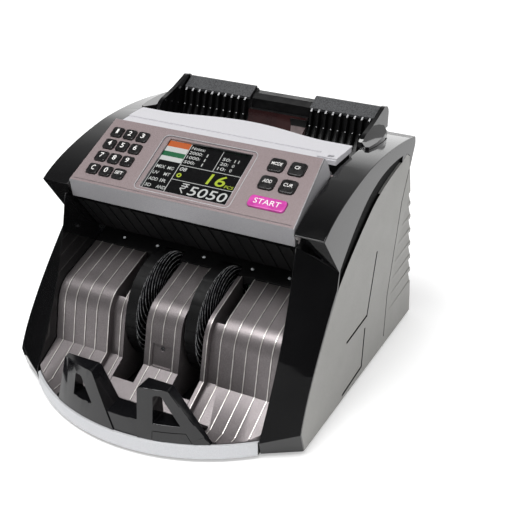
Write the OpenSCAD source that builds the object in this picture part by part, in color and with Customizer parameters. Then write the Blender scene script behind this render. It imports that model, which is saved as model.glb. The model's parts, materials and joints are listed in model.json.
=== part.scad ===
// Banknote counting machine: a front-stacking counter with a tilting control panel,
// a top hopper, belt-driven feed rollers and a pair of bladed stacking wheels.
// Millimetres. X runs across the machine, the front faces -Y, Z is up, z = 0 is the table.

/* [Case] */
// Half width of the case at the foot
case_half = 133; // [130:1:136]
// Lean of each side face towards the top, in degrees
side_lean = 2; // [1:0.5:2.5]
// Half width of the note pocket between the front legs
pocket_half = 105; // [104:0.5:106]
// Wall thickness of the mouldings
wall = 2.5; // [2:0.5:3]
// Radius of the round front rim
rim_r = 160; // [160:1:164]
// Height of the top of the front rim
rim_top = 15.5; // [14:0.5:17]
// Height of the rubber feet
foot_h = 3; // [2.5:0.5:3.5]

/* [Control panel] */
// Length of the panel face along its slope
panel_len = 72.4; // [72:0.2:73]
// Slope of the panel face, in degrees
panel_slope = 26.2; // [25:0.2:27]
// Half width of the panel face at its front edge
panel_half = 101.8; // [101:0.2:102]
// Height of the panel's front edge above the table
panel_z = 168; // [167:0.5:169]

/* [Keys] */
// Width of a number key
key_w = 10.4; // [9.5:0.1:10.8]
// Width of a function button
button_w = 13.4; // [12.5:0.1:14]
// Height of the keys above the panel face
key_proud = 1.6; // [1.2:0.1:2]

/* [Stacker] */
// Radius of the stacking wheels over the blade tips
fan_r = 46; // [43:0.5:46.5]
// Number of blades on each wheel
fan_blades = 26; // [16:1:28]
// Thickness of a blade
blade_t = 0.8; // [0.7:0.1:1]
// Width of a blade
blade_w = 10; // [8:0.5:12]
// Width of a stacking wheel's hub
fan_w = 16; // [14:1:17]
// Height of the stopper plate above the rim
stopper_h = 43; // [38:1:45]

/* [Feed] */
// Radius of the shafts
shaft_r = 3; // [2.5:0.5:3]
// Running clearance between a shaft and its bore
fit = 0.04; // [0.02:0.01:0.08]
// Radius of the feed rollers
feed_r = 17; // [16:0.5:17]
// Radius of the pick-up rollers
pickup_r = 13; // [12:0.5:13]

/* [Hidden] */
$fn = 48;

gap = 0.4;              // seam between two mouldings
reach = 400;            // longer than the machine in any direction
rim_y = rim_r - 148.5;  // centre of the round front rim
tray_half = 124;        // half width of the base tray behind the legs
tray_step_y = -80;      // where the tray widens behind the legs
floor_z = 6;            // top of the tray's floor
top_y = 40;             // where the arch of the case is highest in front
top_z = 187.2;
vee = [-20.6, 125.6];   // the recess between nose and leg, in Y and Z
nose = [-48.4, 164.2];  // tip of the nose, in Y and Z
arch_x = 102.6;         // inner face of the arch beside panel and hopper
side_foot_x = case_half + 0.6;  // the side face's X at table height
hollow_x = 123.2;               // outer limit of the hollow in leg and arch

// centres of the shafts, in Y and Z
fan_c = [-29.5, 61];
feed_c = [66, 124];
pickup_c = [98, 139];
transport_c = [20, 106];
pinch_c = [24.3, 127.9];
motor_c = [95, 45];
transport_r = 12;
pinch_r = 8;
frame_x = 108;          // inner face of a frame plate
frame_t = 2;
bush_r = 6;
belt_x = 115.6;           // where the belts run, outside the frame plates
belt_w = 6;
belt_t = 1.4;
belt_gap = 0.35;
fan_pulley_r = 20;
feed_pulley_r = 14;
transport_pulley_r = 7.4;
motor_pulley_r = 8;
pickup_pulley_r = 9;

// ---------- helpers ----------

// A (Y, Z) outline extruded along X from x0 to x1
module along_x(x0, x1) {
    translate([x0, 0, 0]) rotate([90, 0, 90]) linear_extrude(x1 - x0) children();
}

// A cylinder along X from x0 to x1, centred on c = [y, z]
module rod(x0, x1, c, r, fn = 48) {
    translate([x0, c[0], c[1]]) rotate([0, 90, 0]) cylinder(h = x1 - x0, r = r, $fn = fn);
}

// Everything in front of the plane through p with the outward normal n
module half_space(p, n) {
    translate(p) rotate([0, acos(n.z / norm(n)), atan2(n.y, n.x)])
        translate([-reach, -reach, 0]) cube([2 * reach, 2 * reach, reach]);
}

// Quadratic curve from a to c pulled towards b
function curve(a, b, c, steps = 10) =
    [for (i = [0:steps]) let (t = i / steps) (1 - t) * (1 - t) * a + 2 * t * (1 - t) * b + t * t * c];

// A flat rounded rectangle, centred
module rounded(w, h, r) {
    hull() for (x = [-1, 1], y = [-1, 1])
        translate([x * (w / 2 - r), y * (h / 2 - r)]) circle(r, $fn = 24);
}

module mirrored() {
    mirror([1, 0, 0]) children();
}

// A solid through a row of sections, each with the same number of points
module skin(sections) {
    n = len(sections[0]);
    m = len(sections);
    sides = [for (i = [0:m - 2], k = [0:n - 1]) let (a = i * n + k, b = i * n + (k + 1) % n)
        each [[a, b + n, b], [a, a + n, b + n]]];
    caps = [for (k = [1:n - 2]) each [[0, k, k + 1], [(m - 1) * n, (m - 1) * n + k + 1, (m - 1) * n + k]]];
    polyhedron([for (section = sections) each section], concat(sides, caps));
}

// ---------- case outlines, in Y and Z ----------

function arch_points() = concat(
    curve(nose, [-22, 180.4], [top_y, top_z]),
    curve([top_y, top_z], [90, 190], [144.5, 179.4], 8),
    curve([144.5, 179.4], [148.4, 178], [147.5, 171], 4));

module arch_outline() {
    polygon(concat([[-5, 118], vee], arch_points(), [[135.5, 154], [104, 150], [60, 140]]));
}

// Front edge of the leg on its outer and on its inner side, from the toe up to the nose
outer_edge = concat([[-89.6, foot_h + gap]], curve([-94.4, 21.6], [-82, 54], [-25, 112], 14), [vee]);
inner_edge = concat([[-107.6, foot_h + gap]], curve([-110.9, 15.3], [-74, 68], [-58, 124], 14), [[-50, 156]]);

// The silver side cover, with the sweep of its upper front edge
module cover_outline() {
    polygon(concat(
        [[-88, foot_h]],
        curve([-92.6, 21.6], [-80, 54], [-22.4, 111.5], 8),
        curve([-22.4, 111.5], [2, 130], [43.3, 149.8], 8),
        curve([43.3, 149.8], [66, 161], [113.6, 166], 8),
        [[126, 169.5], [133.5, 165], [135, 153.5]],
        curve([135, 153.5], [143, 110], [147.6, 20], 6),
        [[147.6, foot_h]]));
}

// The gloss channel between the arch and the silver cover
module channel_outline() {
    polygon(concat(
        [[-26, 108.2]],
        curve([-22.4, 110.5], [2, 129], [43.3, 149], 8),
        curve([43.3, 149], [66, 160], [113.6, 165], 8),
        curve([116, 171.6], [72, 177], [40.4, 165.1], 8),
        curve([40.4, 165.1], [14, 155], vee + [1.8, 1.4], 8),
        [[-22.9, 112.4]]));
}

// Everything outside the leaning side face, less a depth
module outside(depth = 0) {
    translate([side_foot_x, 0, 0]) rotate([0, -side_lean, 0])
        translate([-depth, -reach, -50]) cube([60, 2 * reach, reach]);
}

function side_x(z) = side_foot_x - z * tan(side_lean);

// One level of the leg: its front edge runs from inner to outer side
function leg_level(inner, outer, rear) = [
    [pocket_half, inner[0], inner[1]],
    [side_x(outer[1]) + 0.2, outer[0], outer[1]],
    [side_x(outer[1]) + 0.2, rear, outer[1]],
    [pocket_half, rear, inner[1]]];

// The same level of the hollow inside the leg, which ends at a fixed X
function leg_hollow(inner, outer, rear) =
    let (x0 = pocket_half + wall, t = (hollow_x - pocket_half) / (side_x(outer[1]) - pocket_half),
        far = inner + t * (outer - inner))
    [[x0, inner[0] + 4, inner[1]], [hollow_x, far[0] + 4, far[1]], [hollow_x, rear, far[1]], [x0, rear, inner[1]]];

// ---------- case ----------

module tray_plan(r, half, wide, rear) {
    intersection() {
        translate([0, rim_y]) circle(r, $fn = 128);
        translate([-half, -200]) square([2 * half, 200]);
    }
    translate([-half, -2]) square([2 * half, rear + 2]);
    translate([-wide, tray_step_y]) square([2 * wide, rear - tray_step_y]);
}

module base_tray() {
    color("silver") {
        difference() {
            translate([0, 0, foot_h]) linear_extrude(rim_top - foot_h)
                tray_plan(rim_r, pocket_half - 0.6, pocket_half - 0.6, 138);
            translate([0, 0, floor_z]) linear_extrude(rim_top)
                tray_plan(rim_r - wall, 2 * pocket_half, 2 * pocket_half, 138);
            along_x(-reach, reach) translate([tray_step_y, floor_z]) square([230, 30]);
        }
        difference() {
            translate([-tray_half, tray_step_y, foot_h])
                cube([2 * tray_half, 138 - tray_step_y, floor_z - foot_h]);
            for (x = [-60, 0, 60], y = [60:12:108])
                translate([x, y, 0]) linear_extrude(20) rounded(34, 4, 1.9);
        }
    }
}

module rubber_feet() {
    color("#202022") for (x = [-88, 88], y = [-62, 118])
        translate([x, y, 0]) cylinder(h = foot_h, r1 = 8.4, r2 = 9, $fn = 40);
}

module fairing_body() {
    skin([for (i = [0:len(inner_edge) - 1]) leg_level(inner_edge[i], outer_edge[i], -5)]);
    along_x(arch_x, case_half + 4) arch_outline();
}

// Plan of the hopper's side block, which sits in a notch of the arch
module block_plan() {
    polygon([[100.8, 86], [107.6, 77], [110.6, 78.2], [112.5, 90], [112.5, 106], [111, 118.4], [103.4, 131],
        [100.8, 131]]);
}

module side_fairing() {
    color("#0c0c0d") difference() {
        fairing_body();
        outside();
        // the hollow of the arch, open underneath
        along_x(pocket_half + wall, hollow_x - 0.8) {
            offset(delta = -wall) arch_outline();
            polygon([[-6, 100], [-6, 132], [30, 160], [132, 160], [132, 150], [104, 140], [60, 130]]);
        }
        // the hollow of the leg, open at the back and underneath
        skin([for (i = [0:len(inner_edge) - 1])
            leg_hollow(inner_edge[i] - [0, i == 0 ? 3 : 0], outer_edge[i] - [0, i == 0 ? 3 : 0], 5)]);
        translate([0, -8, 0]) cube([hollow_x - 1.6, reach, 148]);
        // the seat of the silver cover, and the gloss channel beside it
        intersection() {
            along_x(100, 150) offset(delta = gap) cover_outline();
            outside(3.4);
        }
        intersection() {
            along_x(100, 150) channel_outline();
            outside(2);
        }
        // clearance for the tray, the fan shaft and the hopper's side block
        translate([0, tray_step_y - 0.5, 0]) cube([tray_half + 0.5, 300, floor_z + 0.4]);
        rod(0, reach, fan_c, 9);
        translate([0, 0, 174.4]) linear_extrude(40) offset(delta = gap) block_plan();
        // bore for the panel's hinge pin
        rod(0, pocket_half + wall + 1, hinge_c, hinge_pin_r + fit);
    }
}

module left_side_fairing() { mirrored() side_fairing(); }
module right_side_fairing() { side_fairing(); }

louvre_z = [for (i = [0:6]) 33 + i * 14.2];
louvre_h = 10.4;
louvre_tilt = 0.2;      // how much a slat falls inwards over its height

function louvre_y(z) = 90 + 0.0042 * pow(z - 20, 2);

module side_cover() {
    color("#9b9b98") difference() {
        intersection() {
            along_x(110, 150) cover_outline();
            outside(3);
        }
        outside();
        // louvres at the rear, shorter towards the top: each slat falls inwards up to the step of the next
        for (z = louvre_z) intersection() {
            along_x(110, 150)
                polygon([[louvre_y(z), z], [louvre_y(z) + 5, z + louvre_h], [150, z + louvre_h + 3], [150, z + 3]]);
            half_space([side_x(z) - 0.2, 0, z], [1, 0, louvre_tilt]);
        }
        // the two styling grooves and the edge of the louvre field
        intersection() {
            along_x(110, 150) union() {
                stroke2([[59, 105.6], [38.5, 55.5], [-4.2, 53.2]], 2.2);
                stroke2([[34.1, 44.5], [27.5, 10.7], [-13.1, 7.4]], 2.2);
                stroke2([[132.5, 152], [116.5, 128], [86, 50], [80, 12]], 1.2);
            }
            outside(1.2);
        }
    }
}

// A flat line of width w through the points
module stroke2(points, w) {
    for (i = [0:len(points) - 2]) {
        d = points[i + 1] - points[i];
        translate(points[i]) rotate(atan2(d[1], d[0])) translate([-w / 2, -w / 2]) square([norm(d) + w, w]);
    }
}

module left_side_cover() { mirrored() side_cover(); }
module right_side_cover() { side_cover(); }

module rear_outline() {
    polygon(concat([[60, floor_z], [60, 181.5], [132.5, 182.5]],
        curve([144, 179.6], [147.8, 178], [147, 171.5], 4),
        curve([135.2, 153.6], [143, 110], [147.6, 20], 6),
        [[147.6, floor_z]]));
}

inlet = [72, 34];      // centre of the power inlet, in X and Z
switch = [108, 34];    // centre of the power switch
socket = [-84, 30];    // centre of the display socket
knob = [0, 146];       // centre of the note gap knob
screw_x = [-112, 0, 112];
screw_z = 14;

module rear_cover() {
    color("#2b2b2e") difference() {
        along_x(-126, 126) difference() {
            rear_outline();
            offset(delta = -wall) rear_outline();
            square([137.8, reach]);
        }
        for (s = [0, 1]) mirror([s, 0, 0]) {
            outside(3.3);
            translate([arch_x - gap, 0, 153]) cube([80, reach, 60]);
        }
        // openings for inlet, switch, socket, knob and screws
        translate([inlet[0] - 14.2, 120, inlet[1] - 10.2]) cube([28.4, 60, 20.4]);
        translate([switch[0] - 6.6, 120, switch[1] - 11]) cube([13.2, 60, 22]);
        translate([socket[0] - 7.2, 120, socket[1] - 6.2]) cube([14.4, 60, 12.4]);
        translate([knob[0], 100, knob[1]]) rotate([-90, 0, 0]) cylinder(h = 80, r = 10.5);
        for (x = screw_x) translate([x, 100, screw_z]) rotate([-90, 0, 0]) cylinder(h = 80, r = 3.1);
        // cooling slots
        for (i = [0:11]) translate([-60 + i * 10 - 1.6, 120, 66]) cube([3.2, 60, 46]);
    }
}

// ---------- control panel ----------

hinge_c = [26, 181];   // axis of the panel's hinge, in Y and Z
hinge_pin_r = 2.5;
panel_y = -46.5;
screen = [-38.5, 9.5, 77.3, 53.1];   // left, lower edge, width, height on the panel face
panel_t = 2.5;
board_top = -6.4;

// Places its children in the panel's own frame: X across, Y up the slope, Z out of the face
module on_panel() {
    translate([0, panel_y, panel_z]) rotate([panel_slope, 0, 0]) children();
}

module panel_side() {
    polygon([[0.6, 0], [panel_len - 0.6, 0], [panel_len, -0.6], [panel_len + 1.8, -5], [panel_len - 3, -15],
        [-4.4, -15.7], [0, -0.6]]);
}

module panel_block(inset = 0) {
    difference() {
        along_x(-110, 110) offset(delta = -inset) panel_side();
        for (s = [-1, 1]) {
            half_space([s * (panel_half - inset), 0, 0], [s * panel_len, 4.8, 18]);
            half_space([s * (panel_half + 0.3 - inset), 0, 0], [s, 0, 0]);
        }
    }
}

module screen_frame(grow) {
    translate([screen[0] + screen[2] / 2, screen[1] + screen[3] / 2]) offset(delta = grow)
        square([screen[2], screen[3]], center = true);
}

key_x = [-86.7, -74.2, -61.7];
key_y = [57, 43.3, 29.3, 15.2];
button_x = [63.2, 81];
button_y = [55.7, 37.2];
start_at = [72, 17.6];
start_size = [31.5, 11.2];

module key_hole(p, w, h, r) {
    translate([p[0], p[1], -20]) linear_extrude(40) rounded(w + 2 * gap, h + 2 * gap, r + gap);
}

module control_panel() {
    color("#9c8f8f") on_panel() {
        difference() {
            panel_block();
            difference() {
                panel_block(panel_t);
                translate([-200, -50, -panel_t]) cube([400, 200, 20]);
            }
            translate([-97, 1, -25]) cube([194, panel_len - 9, 14]);
            for (x = key_x, y = key_y) key_hole([x, y], key_w, key_w, 2);
            for (x = button_x, y = button_y) key_hole([x, y], button_w, button_w, 3);
            key_hole(start_at, start_size[0], start_size[1], 3);
            // the window, and the shallow recess round it
            translate([0, 0, -10]) linear_extrude(20) screen_frame(0.1);
            translate([screen[0] + screen[2] / 2, screen[1] + screen[3] / 2 - 0.6, -0.9])
                linear_extrude(5) rounded(screen[2] + 9, screen[3] + 6, 4.5);
            // the fine groove along the front edge
            translate([-99, 2.6, -0.5]) cube([198, 0.7, 2]);
        }
    }
    // the arms and pins of the hinge
    color("#9c8f8f") for (s = [0, 1]) mirror([s, 0, 0]) {
        along_x(93, 98.6) {
            translate(hinge_c) circle(4.6);
            polygon([[12, 178], [25, 176.5], [29.6, 180], [28, 185], [21, 190], [14, 188]]);
        }
        rod(96, pocket_half + wall, hinge_c, hinge_pin_r);
    }
}

module panel_back() {
    color("#141416") on_panel() {
        difference() {
            translate([-96.6, 1.4, -14.8]) cube([193.2, panel_len - 12.4, 1.6]);
            for (s = [-1, 1]) translate([s * 100 - 7.6, 52, -20]) cube([15.2, 30, 20]);
        }
        for (i = [-7:7]) translate([i * 12.4 - 0.9, 4, -18]) cube([1.8, panel_len - 22, 3.4]);
        for (s = [-1, 1], y = [8, panel_len - 13])
            translate([s * 90, y, -13.4]) cylinder(h = 5.3, r = 2.6, $fn = 24);
    }
}

module screen_lens() {
    color("#101418") on_panel() translate([screen[0] + 0.15, screen[1] + 0.15, -2.3])
        cube([screen[2] - 0.3, screen[3] - 0.3, 1.3]);
}

module display_board() {
    color("#1f5c3a") on_panel() {
        translate([-93, 4, board_top - 1.6]) cube([186, panel_len - 12, 1.6]);
        translate([screen[0] - 2, screen[1] - 2, board_top - 0.1]) cube([screen[2] + 4, screen[3] + 1, 3.2]);
        translate([-30, 20, board_top - 4.4]) cube([24, 10, 3]);
        translate([10, 26, board_top - 4]) cube([14, 14, 2.6]);
    }
}

module key_at(p, w, h, r) {
    on_panel() translate([p[0], p[1], 0]) {
        translate([0, 0, -4.2]) linear_extrude(key_proud + 4.2 - 0.5) rounded(w, h, r);
        translate([0, 0, key_proud - 0.6]) linear_extrude(0.6, scale = 0.94) rounded(w, h, r);
        translate([0, 0, -4.2]) linear_extrude(1.2) rounded(w + 1.6, h + 1.4, r);
    }
}

module number_key(column, row) {
    color("#17171a") key_at([key_x[column], key_y[row]], key_w, key_w, 2);
}

module function_button(column, row) {
    color("#17171a") key_at([button_x[column], button_y[row]], button_w, button_w, 3);
}

module key_1() { number_key(0, 0); }
module key_2() { number_key(1, 0); }
module key_3() { number_key(2, 0); }
module key_4() { number_key(0, 1); }
module key_5() { number_key(1, 1); }
module key_6() { number_key(2, 1); }
module key_7() { number_key(0, 2); }
module key_8() { number_key(1, 2); }
module key_9() { number_key(2, 2); }
module key_clear() { number_key(0, 3); }
module key_0() { number_key(1, 3); }
module key_set() { number_key(2, 3); }
module mode_button() { function_button(0, 0); }
module count_button() { function_button(1, 0); }
module add_button() { function_button(0, 1); }
module value_button() { function_button(1, 1); }

module start_button() {
    color("#c23ea0") key_at(start_at, start_size[0], start_size[1], 3);
}

// ---------- hopper ----------

strip_z = 194;

module strip_plan(front, rear, bulge) {
    polygon(concat([[-101, front], [-101, rear]],
        [for (i = [0:16]) let (x = -75 + i * 9.4) [x, rear + bulge * pow(sin((i / 16) * 180), 1.5)]],
        [[101, rear], [101, front]]));
}

module hopper_strip() {
    color("#d9d9dc") difference() {
        union() {
            translate([0, 0, strip_z - 5]) linear_extrude(4) strip_plan(32, 64, 11);
            translate([0, 0, strip_z - 1.2]) linear_extrude(1.2) strip_plan(43, 65.5, 11.5);
            translate([84, 33, strip_z - 1.2]) linear_extrude(1.6) square([17, 12]);
        }
        translate([92, 35, strip_z - 10]) cube([5, 4, 20]);
    }
}

// Front wall of the hopper, with the friction pads that part the notes over the feed rollers
module feed_guide() {
    color("#161618") {
        along_x(-99, 99) polygon([[61.5, 188.8], [64, 188.8], [66, 165], [60, 145.5], [48, 139.5], [47, 141.8],
            [57.6, 147.4], [63.4, 165]]);
        for (x = [-26, 26]) translate([x - 9, 0, 0]) along_x(0, 18)
            polygon([[60, 145.5], [66, 165], [70, 160], [69.5, 143.2], [66.5, 141.8], [58, 141.4]]);
    }
}

module tray_section() {
    polygon(concat([[133.2, 193], [145, 199.4], [147.4, 197], [146.6, 182.6], [143.4, 182.6], [142.4, 190],
        [136.6, 187]],
        curve([134, 176], [126, 158], [104, 149.4], 8),
        [[84, 140.6], [83, 143]],
        curve([103, 152.2], [122, 160], [130.4, 178], 8)));
}

// Raised filter window in the middle of the tray's wall, over the sensors behind it
sensor_plate = [[127.4, 185], [131.6, 185], [129.6, 176], [121, 162.6], [109, 155], [106.4, 157],
    [118.2, 165.8], [126, 176.6]];

module hopper_tray() {
    color("#131314") along_x(-27, 31) polygon(sensor_plate);
    // the tongue that stops the last note from curling, tapering downwards
    color("#131314") intersection() {
        along_x(10, 40) translate([-0.8, 0.3]) polygon(sensor_plate);
        translate([24, 140, 0]) rotate([90, 0, 0]) linear_extrude(60)
            polygon([[-4.5, 166], [4.5, 166], [8.5, 183], [-8.5, 183]]);
    }
    color("#131314") difference() {
        along_x(-97, 97) tray_section();
        // the middle of the rear wall stands lower and further back
        translate([-26, 120, 196.5]) cube([58, 40, 10]);
        translate([-26, 125, 180]) cube([58, 8.5, 20]);
        // windows for the pick-up rollers
        for (x = [-32, 18]) translate([x, 70, 120]) cube([14, 46, 60]);
    }
}

module note_combs() {
    color("#3c3d40") {
        for (span = [[-96, -27], [33, 96]]) {
            along_x(span[0], span[1]) polygon([[130.6, 192.4], [133.1, 193.3], [144.9, 199.7], [145.1, 201.2],
                [143, 201.6], [130, 195]]);
            for (x = [span[0] + 1.5:6.9:span[1] - 1]) along_x(x, x + 1.8)
                polygon([[130.6, 194.6], [127.4, 192.4], [124.4, 180], [119, 166], [120.6, 164.4],
                    [130.4, 178], [133.1, 193.3]]);
        }
    }
}

module hopper_wing() {
    color("#0e0e10") {
        along_x(97.2, 101) polygon(concat([[112, 156], [86, 172]], curve([85.4, 184], [88, 193], [100, 194]),
            [[117, 197.6], [134, 202.8]], curve([137, 204], [146, 204.4], [147.6, 196], 6),
            [[146.8, 183], [136.8, 183], [130, 176]]));
        // the side block in the notch of the arch
        translate([0, 0, 174.9]) linear_extrude(15) block_plan();
    }
}

module left_hopper_wing() { mirrored() hopper_wing(); }
module right_hopper_wing() { hopper_wing(); }

// ---------- stacker ----------

bend_a = [-56, 84.2];       // where the sloped top of a guide starts to turn down
bend_c = [-73.2, 66];       // where the turn ends
guide_back = [-14.5, 96.6];
wall_foot = [-81, 33];
floor_front = [-113.5, 16];
groove = 5;                 // depth of the groove beside each rail

function guide_top() = concat([guide_back], curve(bend_a, [-69.5, 80.2], bend_c, 8), [wall_foot, floor_front]);

module guide_outline(front = -150) {
    polygon(concat([[guide_back[0], 8], [front, 8], [front, 16]], [for (i = [len(guide_top()) - 1:-1:0]) guide_top()[i]]));
}

// A guide between x0 and x1, open at its back and underneath
module guide(x0, x1, front = -150, drop = 0) {
    difference() {
        translate([0, drop, -drop * 0.6]) along_x(x0, x1) guide_outline(front);
        translate([0, drop, -drop * 0.6]) along_x(x0 + wall, x1 - wall) union() {
            offset(delta = -wall) guide_outline(front);
            polygon([[guide_back[0] + 1, 0], [guide_back[0] + 1, 93], [-50, 80], [-66, 60], [-74, 26], [-74, 0]]);
        }
        translate([-reach, -reach, -1]) cube([2 * reach, 2 * reach, 9]);
        translate([-reach, guide_back[0], -1]) cube([2 * reach, 60, 200]);
    }
}

// Fine raised lines that run down the face of a guide
module guide_lines(xs) {
    for (x = xs) difference() {
        along_x(x - 0.45, x + 0.45) offset(delta = 0.5) guide_outline();
        along_x(x - 1, x + 1) offset(delta = -0.6) guide_outline();
        translate([-reach, -reach, -1]) cube([2 * reach, 2 * reach, 12]);
        translate([-reach, guide_back[0], -1]) cube([2 * reach, 60, 200]);
    }
}

// Keeps a guide inside the round rim and clear of the stopper and its channel
module in_rim() {
    difference() {
        intersection() {
            children();
            translate([0, rim_y, 0]) cylinder(h = 200, r = rim_r - wall - 0.3, $fn = 128);
        }
        translate([-70, -200, 0]) cube([148, 200 + stopper_rear + 0.4, 60]);
        translate([-58, -200, 0]) cube([120, 200 - 111.2, 60]);
        rod(-reach, reach, fan_c, 6);
    }
}

// One side of the stacker, to the left for side = -1 and to the right for side = 1
module side_guide(side) {
    color("#77757a") in_rim() mirror([side > 0 ? 1 : 0, 0, 0]) {
        guide(-104.4, -52.2);
        guide_lines([-97.4, -86.6, -75.7, -64.8, -52.7]);
        guide(-41.2, -37);
        guide_lines([-40.7]);
        // the groove between column and rail is open above the bend and closed below it
        difference() {
            guide(-53, -40.6, -150, groove);
            translate([-60, -59, 40]) cube([30, 80, 80]);
        }
    }
}

module left_stack_guide() { side_guide(-1); }
module right_stack_guide() { side_guide(1); }

module centre_stack_guide() {
    color("#6d6c70") in_rim() difference() {
        union() {
            guide(-16.5, 16.5);
            guide_lines([-11, 0, 11]);
            // the foot widens in front of the wheels
            difference() {
                guide(-36.6, 36.6);
                translate([-50, -97, 0]) cube([100, 200, 120]);
            }
        }
        // the recess for the fixing screw
        difference() {
            translate([-9, -90, 34]) cube([18, 40, 19]);
            translate([0, 1.7, 0]) along_x(-20, 20) guide_outline();
        }
        translate([0, -70, 49]) rotate([90, 0, 0]) cylinder(h = 30, r = 2, $fn = 24);
    }
}

stopper_rear = -125.4;
stopper_lean = 6.5;         // how far the posts lean back over their height
bar_h = 14.3;

// Front outlines of the two posts and of the windows in them, in X and height above the rim
posts = [
    [[-65.5, 0], [-57, 41.4], [-55.4, stopper_h], [-26.4, stopper_h], [-24.2, 41.4], [-2.5, 0]],
    [[18.6, 0], [17.2, 41.4], [18.6, stopper_h], [40.8, stopper_h], [43, 41.4], [74, 0]]];
windows = [
    [[-44.5, 15], [-43.4, 32.8], [-42, 34.4], [-36.4, 34.4], [-24.4, 16], [-24.8, 15]],
    [[30.8, 14.4], [30.1, 36.4], [31.5, 37.9], [36.8, 37.9], [51.8, 15.4], [51.4, 14.4]]];

// Curved front face of the stopper, leaning back with height
module stopper_curve(inset) {
    translate([0, rim_y, rim_top]) cylinder(h = stopper_h, r1 = rim_r - 1.4 - inset,
        r2 = rim_r - 1.4 - stopper_lean - inset, $fn = 128);
}

module across_y(y0, y1) {
    translate([0, y1, rim_top]) rotate([90, 0, 0]) linear_extrude(y1 - y0) children();
}

module stopper_plate() {
    color("#26262a") difference() {
        union() {
            intersection() {
                across_y(-160, stopper_rear) for (p = posts) polygon(p);
                stopper_curve(0);
            }
            intersection() {
                across_y(-160, stopper_rear) translate([-20, 0]) square([44, bar_h]);
                stopper_curve(1);
            }
        }
        // hollow from behind
        intersection() {
            across_y(-160, stopper_rear + 1) {
                difference() {
                    offset(delta = -2) for (p = posts) polygon(p);
                    offset(delta = 2) for (w = windows) polygon(w);
                }
                translate([-30, 2]) square([62, bar_h - 4]);
            }
            stopper_curve(3);
        }
        across_y(-170, -100) for (w = windows) polygon(w);
        // the inset line at the foot of the right post
        difference() {
            across_y(-170, -120) stroke2([[31, -1], [31, 8.2], [56.3, 9], [62.4, -1.2]], 0.7);
            stopper_curve(0.5);
        }
    }
}

module throat_guide() {
    color("#101012") difference() {
        union() {
            along_x(-102.2, 102.2) polygon([[-12, 111.6], [-38, 147], [-36, 148.4], [-10.8, 114.4], [-2, 118.6],
                [44, 122.8], [44.3, 120.6], [-1, 116.2]]);
            for (i = [-8:8]) along_x(i * 12 - 0.8, i * 12 + 0.8)
                polygon([[-11.6, 111.6], [-37.6, 147], [-38.6, 146.2], [-12.9, 111.6]]);
        }
        // slots for the pinch rollers
        for (x = [-46, 46]) translate([x - 8.5, 9, 100]) cube([17, 32, 60]);
    }
}

blade_arc_r = 28;           // radius of the arc that a blade follows
blade_arc_c = [18.5, 0];    // its centre, from the wheel's own

// One blade: an arc that leaves the hub steeply and ends almost along the rim
module blade_outline() {
    intersection() {
        difference() {
            translate(blade_arc_c) circle(blade_arc_r, $fn = 96);
            translate(blade_arc_c) circle(blade_arc_r - blade_t, $fn = 96);
            circle(11);
        }
        circle(fan_r, $fn = 96);
        translate([-50, 0]) square([100, 50]);
    }
}

module fan_wheel() {
    translate([-fan_w / 2, 0, 0]) difference() {
        union() {
            rod(0, fan_w, [0, 0], 12);
            for (i = [0:fan_blades - 1])
                along_x(0.8, 0.8 + blade_w) rotate(i * 360 / fan_blades) blade_outline();
        }
        rod(-1, fan_w + 1, [0, 0], shaft_r);
    }
}

module left_fan_wheel() {
    color("#111113") translate([-28, fan_c[0], fan_c[1]]) fan_wheel();
}

module right_fan_wheel() {
    color("#111113") translate([28, fan_c[0], fan_c[1]]) fan_wheel();
}

// ---------- drive ----------

module pulley(x, c, r) {
    difference() {
        union() {
            rod(x - belt_w / 2, x + belt_w / 2, c, r);
            rod(x - belt_w / 2 - 1, x - belt_w / 2, c, r + belt_gap + belt_t + 0.6);
            rod(x + belt_w / 2, x + belt_w / 2 + 1, c, r + belt_gap + belt_t + 0.6);
        }
        rod(x - 10, x + 10, c, shaft_r);
    }
}

module shaft(c, x1 = -121, x2 = 113) {
    rod(x1, x2, c, shaft_r);
}

module fan_shaft() {
    color("#b8bcc2") shaft(fan_c);
    color("#e0e0da") pulley(-belt_x, fan_c, fan_pulley_r);
}

module feed_shaft() {
    color("#b8bcc2") shaft(feed_c, -121, 121);
    color("#e0e0da") pulley(-belt_x, feed_c, feed_pulley_r);
    color("#e0e0da") pulley(belt_x, feed_c, pickup_pulley_r);
}

module roller(x, w, c, r) {
    difference() {
        rod(x - w / 2, x + w / 2, c, r);
        rod(x - w, x + w, c, shaft_r);
    }
}

module feed_rollers() {
    color("#3a2a24") for (x = [-26, 26]) roller(x, 20, feed_c, feed_r);
}

module pickup_shaft() {
    color("#b8bcc2") shaft(pickup_c, -113, 121);
    color("#e0e0da") pulley(belt_x, pickup_c, pickup_pulley_r);
}

module pickup_rollers() {
    color("#3a2a24") for (x = [-25, 25]) roller(x, 10, pickup_c, pickup_r);
}

module transport_shaft() {
    color("#b8bcc2") shaft(transport_c);
    color("#e0e0da") pulley(-belt_x, transport_c, transport_pulley_r);
    color("#55565a") for (x = [-46, 46]) roller(x, 16, transport_c, transport_r);
}

module pinch_rollers() {
    color("#b8bcc2") rod(-113, 113, pinch_c, 2);
    color("#c9c9c4") for (x = [-46, 46]) difference() {
        rod(x - 5, x + 5, pinch_c, pinch_r);
        rod(x - 9, x + 9, pinch_c, 2);
    }
}

module sensor_bar() {
    color("#16181c") difference() {
        along_x(-104, 104) polygon([[-13.6, 90], [-13.6, 97.4], [-10, 99.2], [2, 104.8], [3, 90]]);
        for (x = [-80, -46, 0, 46, 80]) translate([x, -6, 80]) cylinder(h = 40, r = 2.4, $fn = 24);
        // room for the wheels
        for (x = [-28, 28]) rod(x - fan_w / 2 - 1, x + fan_w / 2 + 1, fan_c, fan_r + 1);
    }
}

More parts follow.
